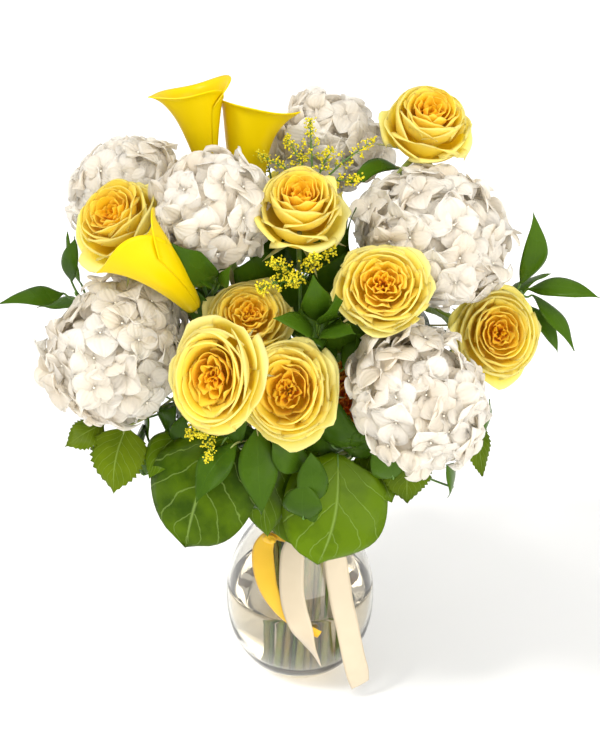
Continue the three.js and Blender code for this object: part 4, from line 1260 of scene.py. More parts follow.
@dataclass(frozen=True)
class Leaf:
    """A leaf from the start of its blade to its tip, with its greatest half width in millimetres.

    Its stalk joins the stem at a point that lies lower by its rise. The arch of its midrib is a share of
    its length, and its teeth are a share of its half width.
    """

    start: Triple
    tip: Triple
    half: float
    outline: Outline = Outline.LANCE
    faces: Triple | None = None
    rise: float = 34.0

    arch = 0.1
    margin = 4.0
    teeth = 13
    tooth = 0.2

    def _upper(self) -> Vector:
        """Gives the way that the leaf's upper face looks.

        Returns:
            The unit way.
        """
        if self.faces:
            return Vector(self.faces).normalized()
        middle = Vector(self.start).lerp(Vector(self.tip), 0.5)
        out = Vector((middle.x, middle.y, 0.0)).normalized()
        return Vector((out.x, out.y, 0.9)).normalized()

    def grow(
        self, sculpt: Sculpt, stem: Sequence[Vector], draw: random.Random, blade: int = 1, stalk: int = 0
    ) -> None:
        """Adds the leaf and its stalk to a mesh.

        Args:
            sculpt: The mesh that it joins.
            stem: The points of the stem that it grows from.
            draw: The source of its chances.
            blade: The index of the blade's finish.
            stalk: The index of the stalk's finish.
        """
        start, tip = Vector(self.start), Vector(self.tip)
        root = nearest_on(stem, start - UP * self.rise)
        length = (tip - start).length
        way = (tip - start).normalized()
        side = way.cross(self._upper()).normalized()
        face = side.cross(way)
        phase, wave = draw.uniform(0.0, 6.0), draw.uniform(0.05, 0.1)
        bend = draw.uniform(-0.08, 0.08)
        serrated = self.outline is Outline.TOOTHED

        def surface(across: float, along: float) -> Vector:
            """Gives a point of the blade."""
            off = abs(across)
            half = self.half * float(spline_at([[w] for w in self.outline.value], along)[0])
            ahead = 0.0
            if serrated and off > 0.99:
                saw = (along * self.teeth) % 1.0
                half *= 1.0 + self.tooth * (saw - 0.4)
                ahead = 0.02 * saw
            middle = start.lerp(tip, clamp(along + ahead))
            middle += face * (self.arch * length * 4 * along * (1 - along))
            middle += side * (across * half + bend * length * math.sin(math.pi * along))
            sag = 0.1 * half * off - 0.22 * half * off * off
            later = 0.0 if across > 0 else 2.0
            ripple = wave * self.half * off**2 * math.sin(along * 11.0 + phase + later)
            return middle + face * (sag + ripple)

        wide = self.outline in (Outline.ROUND, Outline.TOOTHED)
        made = sculpt.sheet(12 if wide else 8, 39 if serrated else 20, surface, 0.0, draw.random(), blade)
        sculpt.move(made, lambda points: CROWD.clear(points, self.margin))
        neck = start.lerp(root, 0.4) - UP * 3.0
        sculpt.tube([root, neck, start, surface(0.0, 0.12)], [1.3, 1.1, 1.0, 0.5], 6, 10, material=stalk)


def nearest_on(points: Sequence[Vector], target: Vector) -> Vector:
    """Gives the point of a chain of straight stretches that is nearest to a target.

    Args:
        points: The ends of the stretches.
        target: The place that it is measured from.

    Returns:
        The point on the chain.
    """
    found = []
    for a, b in zip(points, points[1:]):
        stretch = b - a
        share = clamp((target - a).dot(stretch) / max(stretch.length_squared, 1e-9))
        found.append(a + stretch * share)
    return min(found, key=lambda spot: (spot - target).length)


def toothed(start: Triple, tip: Triple, half: float, faces: Triple | None = None) -> Leaf:
    """Gives a hydrangea leaf."""
    return Leaf(start, tip, half, Outline.TOOTHED, faces)


FLOWER_LEAVES: dict[str, tuple[Leaf, ...]] = {
    "rose_top_right": (Leaf((92, 78, 516), (44, 32, 520), 13, faces=(0, -0.7, 0.7), rise=20),),
    "rose_front_left": (Leaf((-56, -98, 326), (-92, -130, 283), 15, faces=(-0.2, -0.8, 0.5)),),
    "rose_front": (Leaf((-37, -95, 343), (-34, -127, 268), 18, faces=(0, -0.85, 0.5)),),
    "rose_back": (Leaf((-10, 120, 380), (-30, 165, 345), 17),),
    "rose_back_left": (Leaf((-120, 60, 320), (-165, 70, 286), 17),),
    "hydrangea_left": (
        toothed((-158, -62, 320), (-171, -84, 262), 27, (-0.2, -0.8, 0.5)),
        toothed((-182, -44, 312), (-216, -62, 298), 17, (-0.5, -0.6, 0.5)),
    ),
    "hydrangea_front": (
        toothed((98, -90, 308), (97, -102, 264), 22, (0.1, -0.9, 0.4)),
        toothed((156, -64, 330), (166, -86, 282), 15, (0.5, -0.7, 0.4)),
    ),
    "hydrangea_back_left": (toothed((-118, 130, 345), (-150, 158, 302), 26),),
    "hydrangea_back_right": (
        toothed((125, 135, 345), (155, 165, 302), 26),
        toothed((150, 70, 355), (205, 78, 335), 22),
    ),
}


@dataclass
class Stem:
    """A stem from the vase's floor through its neck to what it carries."""

    name: str
    top: Vector
    comes: Vector
    radius: float
    leans: tuple[float, float] = (0.0, 0.0)
    head: Head | None = None
    neck: complex = 0j
    points: list[Vector] = field(default_factory=list)


class Bundle:
    """The stems together: gathered in the vase's neck, spiralled to its floor and bent clear of each other.

    Lengths are in millimetres.
    """

    neck_radius = 38.0
    neck_height = 196.0
    foot_height = 13.0
    foot_pull = 0.8
    twist = math.radians(40.0)
    neck_pull = 0.15
    spacing = 1.5
    gap = 0.3
    steps = 4
    margin = 4.0
    clearance = 1.2
    straight_end = 8.0
    wall_gap = 1.5
    spread_rounds = 200
    bend_rounds = 60
    pull = 0.3
    longest_pull = 60.0
    push_share = 0.6
    near = 5.0

    def __init__(self, stems: Sequence[Stem]) -> None:
        """Routes all the stems."""
        self.stems = stems
        self._gather()
        for stem in stems:
            self._route(stem)
        self._bend()

    def _gather(self) -> None:
        """Spreads the stems over the neck so that none crowds another."""
        for stem in self.stems:
            stem.neck = complex(stem.top.x + stem.leans[0], stem.top.y + stem.leans[1]) * self.neck_pull
        for _ in range(self.spread_rounds):
            for i, one in enumerate(self.stems):
                for two in self.stems[i + 1 :]:
                    apart = two.neck - one.neck
                    need = (one.radius + two.radius + 2 * self.gap) * self.spacing
                    distance = max(abs(apart), 1e-3)
                    if distance < need:
                        apart *= (need - distance) / (2 * distance)
                        one.neck -= apart
                        two.neck += apart
            for stem in self.stems:
                room = self.neck_radius - stem.radius - self.wall_gap
                if abs(stem.neck) > room:
                    stem.neck *= room / abs(stem.neck)

    def _route(self, stem: Stem) -> None:
        """Lays a stem from the floor through the neck to its flower.

        Args:
            stem: The stem, which gets its points.
        """
        below = stem.neck * complex(math.cos(self.twist), -math.sin(self.twist)) * self.foot_pull
        foot = Vector((below.real, below.imag, self.foot_height))
        neck = Vector((stem.neck.real, stem.neck.imag, self.neck_height))
        length = (stem.top - neck).length
        rising = (neck - foot).normalized()
        end = stem.top - stem.comes * self.straight_end
        leaving = neck + rising * length * self.pull
        arriving = stem.top - stem.comes * min(length * self.pull, self.longest_pull)
        controls = (neck, leaving, arriving, end)
        curve = [
            Vector([bezier(k / self.steps, [c[axis] for c in controls]) for axis in range(3)])
            for k in range(self.steps + 1)
        ]
        stem.points = [foot, *curve, stem.top.copy()]

    def _part(self, ways: np.ndarray) -> None:
        """Pushes stems apart where a stretch of one comes too close to a stretch of another.

        Args:
            ways: The points of every stem, by stem, point and axis.
        """
        count, last = len(ways), self.steps
        rows = [(s, i) for s in range(count) for i in range(1, last + 2)]
        owner, index = np.array(rows).T
        start, end = ways[owner, index], ways[owner, index + 1]
        low, high = np.minimum(start, end) - self.near, np.maximum(start, end) + self.near
        close = (low[:, None] < high[None]).all(axis=2) & (high[:, None] > low[None]).all(axis=2)
        one, two = np.nonzero(close & (owner[:, None] < owner[None]))
        near_one, near_two = nearest_pairs(start[one], end[one], start[two], end[two])
        radii = np.array([stem.radius for stem in self.stems])
        need = radii[owner[one]] + radii[owner[two]] + self.clearance
        apart = near_one - near_two
        distance = np.maximum(np.linalg.norm(apart, axis=1), 1e-6)
        push = apart * (np.maximum(need - distance, 0.0) * self.push_share / distance)[:, None]
        for pick, sign in ((one, 1.0), (two, -1.0)):
            for step in (0, 1):
                bend = index[pick] + step
                free = (bend >= 2) & (bend <= last)
                np.add.at(ways, (owner[pick][free], bend[free]), sign * push[free])

    def _bend(self) -> None:
        """Bends the stems clear of each other and of the heads that they pass."""
        ways = np.array([[tuple(point) for point in stem.points] for stem in self.stems])
        margins = np.array([stem.radius + self.margin for stem in self.stems])
        owners = [stem.head for stem in self.stems]
        last = self.steps
        for _ in range(self.bend_rounds):
            self._part(ways)
            for bend in range(2, last + 1):
                halfway = (ways[:, bend] + ways[:, bend + 1]) / 2.0
                push = CROWD.clear(halfway, margins, owners) - halfway
                ways[:, bend] += push
                if bend < last:
                    ways[:, bend + 1] += push
                ways[:, bend] = CROWD.clear(ways[:, bend], margins, owners)
        for stem, points in zip(self.stems, ways):
            stem.points = [Vector(point) for point in points]


def nearest_pairs(
    a: np.ndarray, b: np.ndarray, c: np.ndarray, d: np.ndarray
) -> tuple[np.ndarray, np.ndarray]:
    """Gives the nearest points of many pairs of straight stretches.

    Args:
        a: Where the first stretch of each pair starts.
        b: Where it ends.
        c: Where the second stretch of each pair starts.
        d: Where it ends.

    Returns:
        The nearest points on the first stretches and on the second ones.
    """
    one, two, between = b - a, d - c, a - c
    pairs = ((one, one), (two, two), (one, two), (one, between), (two, between))
    aa, bb, ab, ac, bc = ((x * y).sum(axis=1) for x, y in pairs)
    aa, bb = np.maximum(aa, 1e-9), np.maximum(bb, 1e-9)
    flat = aa * bb - ab * ab
    s = np.where(flat > 1e-9, np.clip((ab * bc - ac * bb) / np.maximum(flat, 1e-9), 0.0, 1.0), 0.0)
    t = np.clip((ab * s + bc) / bb, 0.0, 1.0)
    s = np.clip((ab * t - ac) / aa, 0.0, 1.0)
    return a + one * s[:, None], c + two * t[:, None]


@dataclass(frozen=True)
class FlowerStem:
    """The green of one flower: its stem, its sepals if it is a rose, and its leaves, in millimetres."""

    stem: Stem
    leaves: tuple[Leaf, ...] = ()

    hip = (4.6, 4.6, 5.4)
    sepals = 5
    sepal_half = 4.2
    thick = 0.45

    def _sepals(self, sculpt: Sculpt, draw: random.Random) -> None:
        """Adds a rose's hip and its sepals, bent back under the bloom.

        Args:
            sculpt: The mesh that they join.
            draw: The source of their chances.
        """
        x, y, z = self.stem.head.axes
        top, reach = self.stem.top, 1.02 * self.stem.head.radii[0]
        sculpt.ball(top - z * 3.5, self.hip, 2, 0.4, 0, (x, y, z))
        for k in range(self.sepals):
            angle = k * 2 * math.pi / self.sepals + draw.uniform(-0.15, 0.15)
            out = x * math.cos(angle) + y * math.sin(angle)
            drop = draw.uniform(0.05, 0.4)

            def surface(across: float, along: float, out: Vector = out, drop: float = drop) -> Vector:
                """Gives a point of the sepal."""
                half = self.sepal_half * (1.0 - along) ** 0.7
                spot = top + out * (2.0 + reach * along) - z * (1.0 + reach * drop * along * along)
                return spot + z.cross(out) * across * half - z * 0.3 * half * across * across

            sculpt.sheet(4, 8, surface)

    def build(self) -> None:
        """Builds the stem and its leaves in place of the CAD node."""
        draw = random.Random(self.stem.name)
        sculpt = Sculpt()
        radius = self.stem.radius
        radii = [radius * 1.05, radius, *[radius] * (len(self.stem.points) - 3), radius * 1.15]
        sculpt.tube(self.stem.points, radii, 12, 36, draw.random())
        if self.stem.head and self.stem.head.kind is Kind.ROSE:
            self._sepals(sculpt, draw)
        for leaf in self.leaves:
            leaf.grow(sculpt, self.stem.points, draw, 2 if leaf.outline is Outline.TOOTHED else 1)
        finishes = [GREEN_STEM, RUSCUS_LEAF, HYDRANGEA_LEAF]
        sculpt.make(f"{self.stem.name}_green", [self.stem.name], "stem", finishes, self.thick)


class Foliage(Enum):
    """The two kinds of cut foliage: the record's material slot and the finish of their leaves."""

    RUSCUS = ("dark_leaf", RUSCUS_LEAF)
    SALAL = ("broad_leaf", SALAL_LEAF)


@dataclass(frozen=True)
class Sprig:
    """A leafy sprig that stands among the flowers."""

    name: str
    top: Triple
    comes: Triple
    leaves: tuple[Leaf, ...]
    leans: tuple[float, float] = (0.0, 0.0)

    radius = 1.6
    thick = 0.5

    def build(self, stem: Stem, foliage: Foliage) -> None:
        """Builds the sprig in place of its CAD node.

        Args:
            stem: Its stem.
            foliage: Its kind.
        """
        draw = random.Random(self.name)
        sculpt = Sculpt()
        radii = [self.radius] * (len(stem.points) - 1) + [self.radius / 2]
        sculpt.tube(stem.points, radii, 8, 30, draw.random())
        for leaf in self.leaves:
            leaf.grow(sculpt, stem.points, draw)
        slot, finish = foliage.value
        sculpt.make(f"{self.name}_sprig", [self.name], slot, [SPRIG_STEM, finish], self.thick)


def ruscus(start: Triple, tip: Triple, half: float, faces: Triple, rise: float = 34.0) -> Leaf:
    """Gives a narrow leaf of a ruscus sprig."""
    return Leaf(start, tip, half, Outline.LANCE, faces, rise)


def broad(start: Triple, tip: Triple, half: float, faces: Triple | None = None) -> Leaf:
    """Gives a smaller oval leaf of a broad-leaved sprig."""
    return Leaf(start, tip, half, Outline.OVAL, faces)


SPRIGS = {
    Foliage.RUSCUS: (
        Sprig("ruscus_left", (-206, 6, 424), (-0.5, 0, 0.85), (
            ruscus((-213, -14, 432), (-262, -60, 446), 11, (-0.1, -0.6, 0.8)),
            ruscus((-208, 2, 436), (-196, -14, 490), 9, (-0.3, -0.9, 0.3)),
            ruscus((-200, 10, 428), (-212, 28, 474), 8, (-0.8, -0.5, 0.3)),
            ruscus((-196, 14, 404), (-248, 34, 392), 11, (-0.3, 0, 0.95)),
        )),
        Sprig("ruscus_right", (205, 24, 416), (0.4, 0, 0.9), (
            ruscus((204, 22, 424), (207, 2, 505), 12, (0.1, -0.95, 0.2)),
            ruscus((210, 18, 420), (270, -20, 430), 12, (0.1, -0.5, 0.85)),
            ruscus((216, 22, 412), (251, -24, 378), 11, (0.5, -0.5, 0.7), 4),
            ruscus((214, 24, 400), (240, -2, 364), 9, (0.4, -0.7, 0.5), 4),
            ruscus((196, 34, 400), (240, 66, 412), 11, (0.1, 0.4, 0.9)),
        ), (30, 60)),
        Sprig("ruscus_upper", (-86, -32, 455), (0, -0.5, 0.87), (
            ruscus((-74, -50, 462), (-106, -96, 520), 17, (0.1, -0.9, 0.4)),
            ruscus((-70, -54, 462), (-58, -82, 493), 7, (0, -0.8, 0.6)),
            ruscus((-76, -48, 455), (-90, -78, 478), 8, (-0.2, -0.7, 0.6)),
        )),
        Sprig("ruscus_centre", (15, -72, 432), (0, -0.5, 0.87), (
            ruscus((15, -80, 440), (11, -110, 498), 14, (0, -0.9, 0.4)),
            ruscus((18, -82, 438), (30, -122, 486), 15, (0.3, -0.8, 0.5)),
            ruscus((20, -84, 432), (46, -136, 456), 14, (0, -0.6, 0.8)),
            ruscus((10, -80, 434), (-22, -126, 466), 13, (-0.2, -0.7, 0.7)),
        )),
    ),
    Foliage.SALAL: (
        Sprig("salal_front_left", (-52, -78, 318), (-0.3, -0.6, 0.74), (
            Leaf((-66, -90, 326), (-104, -118, 226), 49, Outline.ROUND, (-0.2, -0.87, 0.4)),
            broad((-104, -66, 318), (-136, -98, 288), 18, (-0.4, -0.6, 0.6)),
            broad((-34, -70, 300), (-40, -100, 236), 20, (0, -0.85, 0.5)),
        ), (-50, 0)),
        Sprig("salal_front_right", (36, -74, 306), (0.2, -0.6, 0.77), (
            Leaf((34, -86, 306), (16, -118, 206), 48, Outline.ROUND, (0.1, -0.9, 0.4)),
            broad((8, -66, 306), (-4, -106, 252), 18, (-0.1, -0.8, 0.6)),
            broad((70, -56, 298), (120, -70, 266), 22, (0.4, -0.6, 0.6)),
        )),
        Sprig("salal_back_left", (-56, 82, 306), (-0.3, 0.6, 0.74), (
            Leaf((-58, 92, 314), (-80, 118, 222), 44, Outline.ROUND, (-0.3, 0.85, 0.4)),
            broad((-90, 62, 312), (-146, 88, 262), 30),
            broad((-30, 90, 330), (-16, 132, 268), 26),
        ), (90, 30)),
        Sprig("salal_back_right", (58, 80, 306), (0.3, 0.6, 0.74), (
            Leaf((54, 92, 314), (62, 122, 220), 44, Outline.ROUND, (0.2, 0.88, 0.4)),
            broad((92, 58, 310), (146, 76, 262), 28),
            broad((30, 88, 336), (30, 130, 290), 24),
        ), (-50, 0)),
    ),
}


@dataclass(frozen=True)
class Goldenrod:
    """A spray of goldenrod: arching plumes that are crowded with tiny yellow flowers, in millimetres."""

    name: str
    top: Triple
    comes: Triple
    tips: tuple[Triple, ...]
    leans: tuple[float, float] = (0.0, 0.0)

    bunches = 15
    buds = 7
    bud = (0.6, 1.15)
    twig = (4.5, 8.0)
    loose = 1.6
    margin = 5.4

    def _plume(self, sculpt: Sculpt, root: Vector, tip: Vector, draw: random.Random) -> None:
        """Adds one plume with its side twigs and their bunches of buds.

        Args:
            sculpt: The mesh that it joins.
            root: Where it leaves the stem.
            tip: Where it ends.
            draw: The source of its chances.
        """
        middle = root.lerp(tip, 0.55) + UP * 4.0
        chain = [root, root.lerp(middle, 0.6), middle, middle.lerp(tip, 0.6), tip]
        sculpt.tube(chain, [1.1, 1.0, 0.8, 0.6, 0.4], 5, 12, 0.4)
        axes = frame_facing((tip - root).normalized())
        for k in range(self.bunches):
            share = 0.3 + 0.7 * k / (self.bunches - 1)
            spot = Vector(spline_at(chain, share))
            angle = k * GOLDEN_ANGLE + draw.uniform(-0.4, 0.4)
            out = axes[0] * math.cos(angle) + axes[1] * math.sin(angle) + axes[2] * 0.5
            end = spot + out.normalized() * draw.uniform(*self.twig) * (1.25 - 0.75 * share)
            sculpt.tube([spot, spot.lerp(end, 0.5) + UP * 0.6, end], [0.5, 0.4, 0.3], 4, 4, 0.4)
            for _ in range(self.buds):
                off = Vector([draw.gauss(0, 1) for _ in range(3)]) * self.loose
                size = draw.uniform(*self.bud)
                shape = (size, size, size * 1.4)
                sculpt.ball(end + off, shape, 1, draw.random(), 1, frame_facing(off.normalized()))

    def build(self, stem: Stem) -> None:
        """Builds the spray in place of its CAD node.

        Args:
            stem: Its stem.
        """
        draw = random.Random(self.name)
        sculpt = Sculpt()
        sculpt.tube(stem.points, [1.5] * (len(stem.points) - 1) + [1.1], 8, 30, 0.4)
        for tip in self.tips:
            end = Vector(CROWD.clear(np.array([tip], float), self.margin)[0])
            root = nearest_on(stem.points, end).lerp(stem.points[-1], 0.6)
            self._plume(sculpt, root, end, draw)
        sculpt.make(f"{self.name}_spray", [self.name], "goldenrod", [SPRIG_STEM, GOLDENROD_FLOWER])


def nearest_stem(stems: Sequence[Stem], start: Vector, drop: float) -> Stem:
    """Gives the stem that passes nearest to a place a drop below the start of a loose leaf."""
    return min(stems, key=lambda stem: (nearest_on(stem.points, start - UP * drop) - start).length)


@dataclass(frozen=True)
class Filling:
    """Leaves between the heads, that close the gaps through which the stems would show.

    Reach, length and half width are in millimetres, and levels are sines of the height over the focus.
    """

    name: str
    count: int
    reach: tuple[float, float]
    levels: tuple[float, float]
    length: tuple[float, float]
    half: tuple[float, float]
    rising: float
    extra: tuple[Leaf, ...]

    spread = (1.05, 0.8, 1.35)
    margin = 2.0
    thick = 0.4

    def build(self, stems: Sequence[Stem], foliage: Foliage) -> None:
        """Builds the leaves, each on the stem that is nearest to it.

        Args:
            stems: All stems.
            foliage: The leaves' kind.
        """
        draw = random.Random(self.name)
        sculpt = Sculpt()
        for k in range(self.count):
            level = blend(*self.levels, (k + 0.5) / self.count)
            angle = k * GOLDEN_ANGLE + draw.uniform(-0.3, 0.3)
            ring = math.sqrt(1.0 - level * level)
            out = Vector((ring * math.cos(angle), ring * math.sin(angle), level))
            arm = Vector([part * wide for part, wide in zip(out, self.spread)])
            start = BOUQUET_FOCUS + arm * draw.uniform(*self.reach)
            start = Vector(CROWD.clear(np.array([tuple(start)]), self.margin)[0])
            along = Vector((draw.gauss(0, 0.6), draw.gauss(0, 0.6), draw.gauss(self.rising, 0.4)))
            along -= out * along.dot(out)
            tip = start + (along.normalized() + out * 0.3) * draw.uniform(*self.length)
            faces = tuple(out + Vector((draw.gauss(0, 0.15), draw.gauss(0, 0.15), 0.1)))
            leaf = broad(tuple(start), tuple(tip), draw.uniform(*self.half), faces)
            leaf.grow(sculpt, nearest_stem(stems, start, leaf.rise).points, draw)
        for leaf in self.extra:
            leaf.grow(sculpt, nearest_stem(stems, Vector(leaf.start), 0.0).points, draw)
        slot, finish = foliage.value
        sculpt.make(self.name, [], slot, [SPRIG_STEM, finish], self.thick)


def gap_leaves(faces: Triple, *rows: tuple[Triple, Triple, float]) -> tuple[Leaf, ...]:
    """Gives oval leaves that all face one way, from their start, tip and half width."""
    return tuple(broad(start, tip, half, faces) for start, tip, half in rows)


FILLINGS = {
    Foliage.RUSCUS: Filling(
        "inner_leaves", 84, (135.0, 180.0), (0.98, 0.12), (38.0, 58.0), (14.0, 20.0), 0.8,
        (
            *gap_leaves((0, -0.9, 0.4), ((0, -10, 400), (-14, -30, 472), 24)),
            *gap_leaves((0.1, -0.9, 0.4), ((25, -5, 405), (40, -25, 478), 24)),
            *gap_leaves(
                (0, -0.9, 0.4),
                ((50, -20, 400), (66, -42, 462), 22), ((-30, -15, 425), (-46, -20, 492), 20),
                ((16, 10, 440), (4, 0, 508), 24),
            ),
            *gap_leaves((0.1, -0.9, 0.4), ((56, 20, 430), (74, 0, 500), 21)),
            *gap_leaves(
                (0, -0.9, 0.4),
                ((-20, 20, 440), (-36, 12, 520), 22), ((40, -50, 390), (26, -76, 440), 18),
                ((30, -58, 300), (52, -84, 346), 22), ((46, -78, 300), (58, -96, 338), 20),
                ((40, 6, 446), (43, 14, 500), 20), ((-48, -66, 298), (-46, -84, 336), 18),
                ((20, -64, 288), (18, -80, 330), 20), ((-24, -70, 318), (-30, -96, 352), 18),
                ((86, -30, 400), (104, -46, 446), 18),
            ),
            *gap_leaves(
                (-0.1, -0.9, 0.4),
                ((-96, -30, 400), (-100, -50, 462), 20), ((-100, 20, 430), (-112, 0, 500), 22),
            ),
        ),
    ),
    Foliage.SALAL: Filling(
        "collar_leaves", 18, (84.0, 104.0), (0.6, 0.2), (40.0, 56.0), (17.0, 24.0), -0.7,
        (
            broad((-22, -80, 300), (-30, -104, 228), 22, (0, -0.85, 0.5)),
            broad((-4, -74, 296), (2, -98, 234), 20, (0.1, -0.85, 0.5)),
            broad((-60, -70, 300), (-76, -104, 258), 20, (-0.2, -0.85, 0.5)),
            broad((60, -62, 300), (84, -98, 262), 22, (0.2, -0.85, 0.5)),
        ),
    ),
}

SPRAYS = (
    Goldenrod("goldenrod_top", (12, 50, 505), (0, 0, 1), (
        (-38, 62, 535), (-12, 70, 548), (9, 60, 568), (28, 44, 546), (66, 62, 548), (52, 16, 530),
    )),
    Goldenrod("goldenrod_centre", (0, -52, 462), (0, -0.4, 0.9), (
        (28, -64, 500), (12, -80, 500), (-24, -72, 492), (-34, -88, 474), (-6, -92, 482),
    )),
    Goldenrod("goldenrod_low", (-82, -82, 330), (-0.3, -0.4, 0.8), (
        (-86, -112, 346), (-98, -104, 338), (-80, -124, 326),
    ), (-60, 60)),
    Goldenrod("goldenrod_back", (-24, 120, 466), (-0.2, 0.4, 0.9), (
        (-58, 172, 500), (-38, 180, 506), (-52, 150, 520), (-74, 168, 486),
    ), (0, -90)),
)


# ---- vase, water and ribbons


@dataclass(frozen=True)
class Vase:
    """The bubble vase and its water, both turned round the vertical axis, in millimetres."""

    outside: tuple[tuple[float, float], ...] = (
        (35, 0), (44, 6), (60, 24), (72, 52), (75, 88), (70.5, 116), (60, 143), (41, 173), (41, 191),
        (47, 203),
    )
    inside: tuple[tuple[float, float], ...] = (
        (44, 203), (38, 190), (38, 173), (57, 142), (67.5, 115), (72, 88), (69, 54), (56, 26), (30, 12),
    )
    lip: tuple[tuple[float, float], ...] = ((46.9, 204.2), (45.6, 204.8), (44.4, 204.2))
    punt: tuple[tuple[float, float], ...] = ((0.0, 1.2), (28.0, 1.0), (32.5, 0.0))
    floor: float = 12.0
    level: float = 101.0
    sides: int = 96

    wetting = 0.12

    @staticmethod
    def _smooth(profile: Sequence[Sequence[float]], steps: int) -> list[list[float]]:
        """Gives evenly spaced points on a smooth curve through a profile."""
        return [list(spline_at(profile, k / steps)) for k in range(steps + 1)]

    def build(self) -> None:
        """Builds the glass, and the water that climbs it a little, in place of their CAD nodes."""
        outer, inner = self._smooth(self.outside, 60), self._smooth(self.inside, 56)
        walls = [*self.punt, *outer, *self.lip, *inner, (15.0, self.floor - 0.6), (0.0, self.floor - 0.8)]
        wet = [(radius - self.wetting, high) for radius, high in reversed(inner) if high < self.level - 1.0]
        edge = wet[-1][0]
        top = [(edge + 0.3, self.level + 0.9), (edge - 1.2, self.level + 0.2), (edge - 4.0, self.level)]
        body = [(0.0, self.floor - 0.6), (15.0, self.floor - 0.4), *wet, *top, (0.0, self.level)]
        for name, node, slot, profile, finish in (
            ("vase_glass", "vase", "glass", walls, GLASS), ("vase_water", "water", "water", body, WATER),
        ):
            sculpt = Sculpt()
            sculpt.turned(profile, self.sides)
            sculpt.make(name, [node], slot, [finish])


@dataclass(frozen=True)
class Tail:
    """A ribbon's tail: points along its middle, the way of its width at each, and its width there."""

    path: tuple[Triple, ...]
    turns: tuple[Triple, ...]
    widths: tuple[float, ...]

    bow = 0.7

    def surface(self, across: float, along: float) -> Vector:
        """Gives a point of the tail, which is slightly bowed across.

        Args:
            across: From -1 to 1.
            along: From 0 at the knot to 1 at the end.

        Returns:
            The point in millimetres.
        """
        middle = Vector(spline_at(self.path, along))
        ahead = Vector(spline_at(self.path, along + 0.01)) - Vector(spline_at(self.path, along - 0.01))
        way = ahead.normalized()
        side = Vector(spline_at(self.turns, along))
        side = (side - way * side.dot(way)).normalized()
        half = float(spline_at([[w] for w in self.widths], along)[0]) / 2.0
        return middle + side * across * half + way.cross(side) * (self.bow * (1.0 - across * across))

    @property
    def flat(self) -> tuple[float, float]:
        """The size that it was cut to.

        Returns:
            Its mean width and the length along its middle, in metres.
        """
        spots = [Vector(spline_at(self.path, k / 80)) for k in range(81)]
        length = sum((b - a).length for a, b in zip(spots, spots[1:]))
        return sum(self.widths) / len(self.widths) * MM, length * MM


@dataclass(frozen=True)
class Ribbon:
    """A satin ribbon: two turns round the neck, a knot and its tails, in millimetres."""

    name: str
    finish: SatinFinish
    band: float
    knot: Triple
    tails: tuple[Tail, ...]

    radius = 43.0
    height = 7.0
    knot_size = (8.0, 4.6, 4.4)
    thick = 0.4

    def _turns(self, across: float, along: float) -> Vector:
        """Gives a point of the turns round the neck, with a slight crease between them.

        Args:
            across: From -1 at the lower edge to 1 at the upper one.
            along: Share of the way round.

        Returns:
            The point in millimetres.
        """
        angle = along * 2 * math.pi
        crease = 0.5 * math.sin(across * 9.0 + 0.4 * math.sin(angle * 3))
        radius = self.radius + 0.7 + 0.5 * (1 - across * across) + 0.4 * crease
        high = self.band + self.height * (0.5 + 0.46 * across) + 0.3 * math.sin(angle * 2)
        return Vector((radius * math.cos(angle), radius * math.sin(angle), high))

    def _swell(self, points: np.ndarray) -> np.ndarray:
        """Stretches a ball into the knot and folds its surface.

        Args:
            points: Points of the ball.

        Returns:
            The points of the knot.
        """
        local = points - np.array(self.knot)
        folds = 1.0 + 0.09 * np.sin(local[:, 0] * 6.0 + local[:, 2] * 5.0)
        folds += 0.05 * np.sin(local[:, 2] * 17.0)
        axes = np.array([tuple(axis) for axis in frame_facing((self.knot[0], self.knot[1], 0.1))])
        return np.array(self.knot) + (local * np.array(self.knot_size) * folds[:, None]) @ axes

    def _make(self, sculpt: Sculpt, part: str, nodes: Sequence[str]) -> bpy.types.Object:
        """Turns a mesh into a part of the ribbon, with the ribbon's finish."""
        return sculpt.make(f"{self.name}_{part}", nodes, self.finish.name, [self.finish], self.thick)

    def build(self) -> None:
        """Builds the turns with their knot, and each tail, in place of the CAD node."""
        sculpt = Sculpt()
        bmesh.ops.remove_doubles(sculpt.mesh, verts=sculpt.sheet(8, 96, self._turns), dist=0.01)
        sculpt.move(sculpt.ball(self.knot, (1, 1, 1), 4), self._swell)
        tie = self._make(sculpt, "tie", [self.name])
        for k, tail in enumerate(self.tails):
            sculpt = Sculpt()
            sculpt.sheet(8, 90, tail.surface)
            piece = self._make(sculpt, f"tail_{k + 1}", [])
            tail.flat


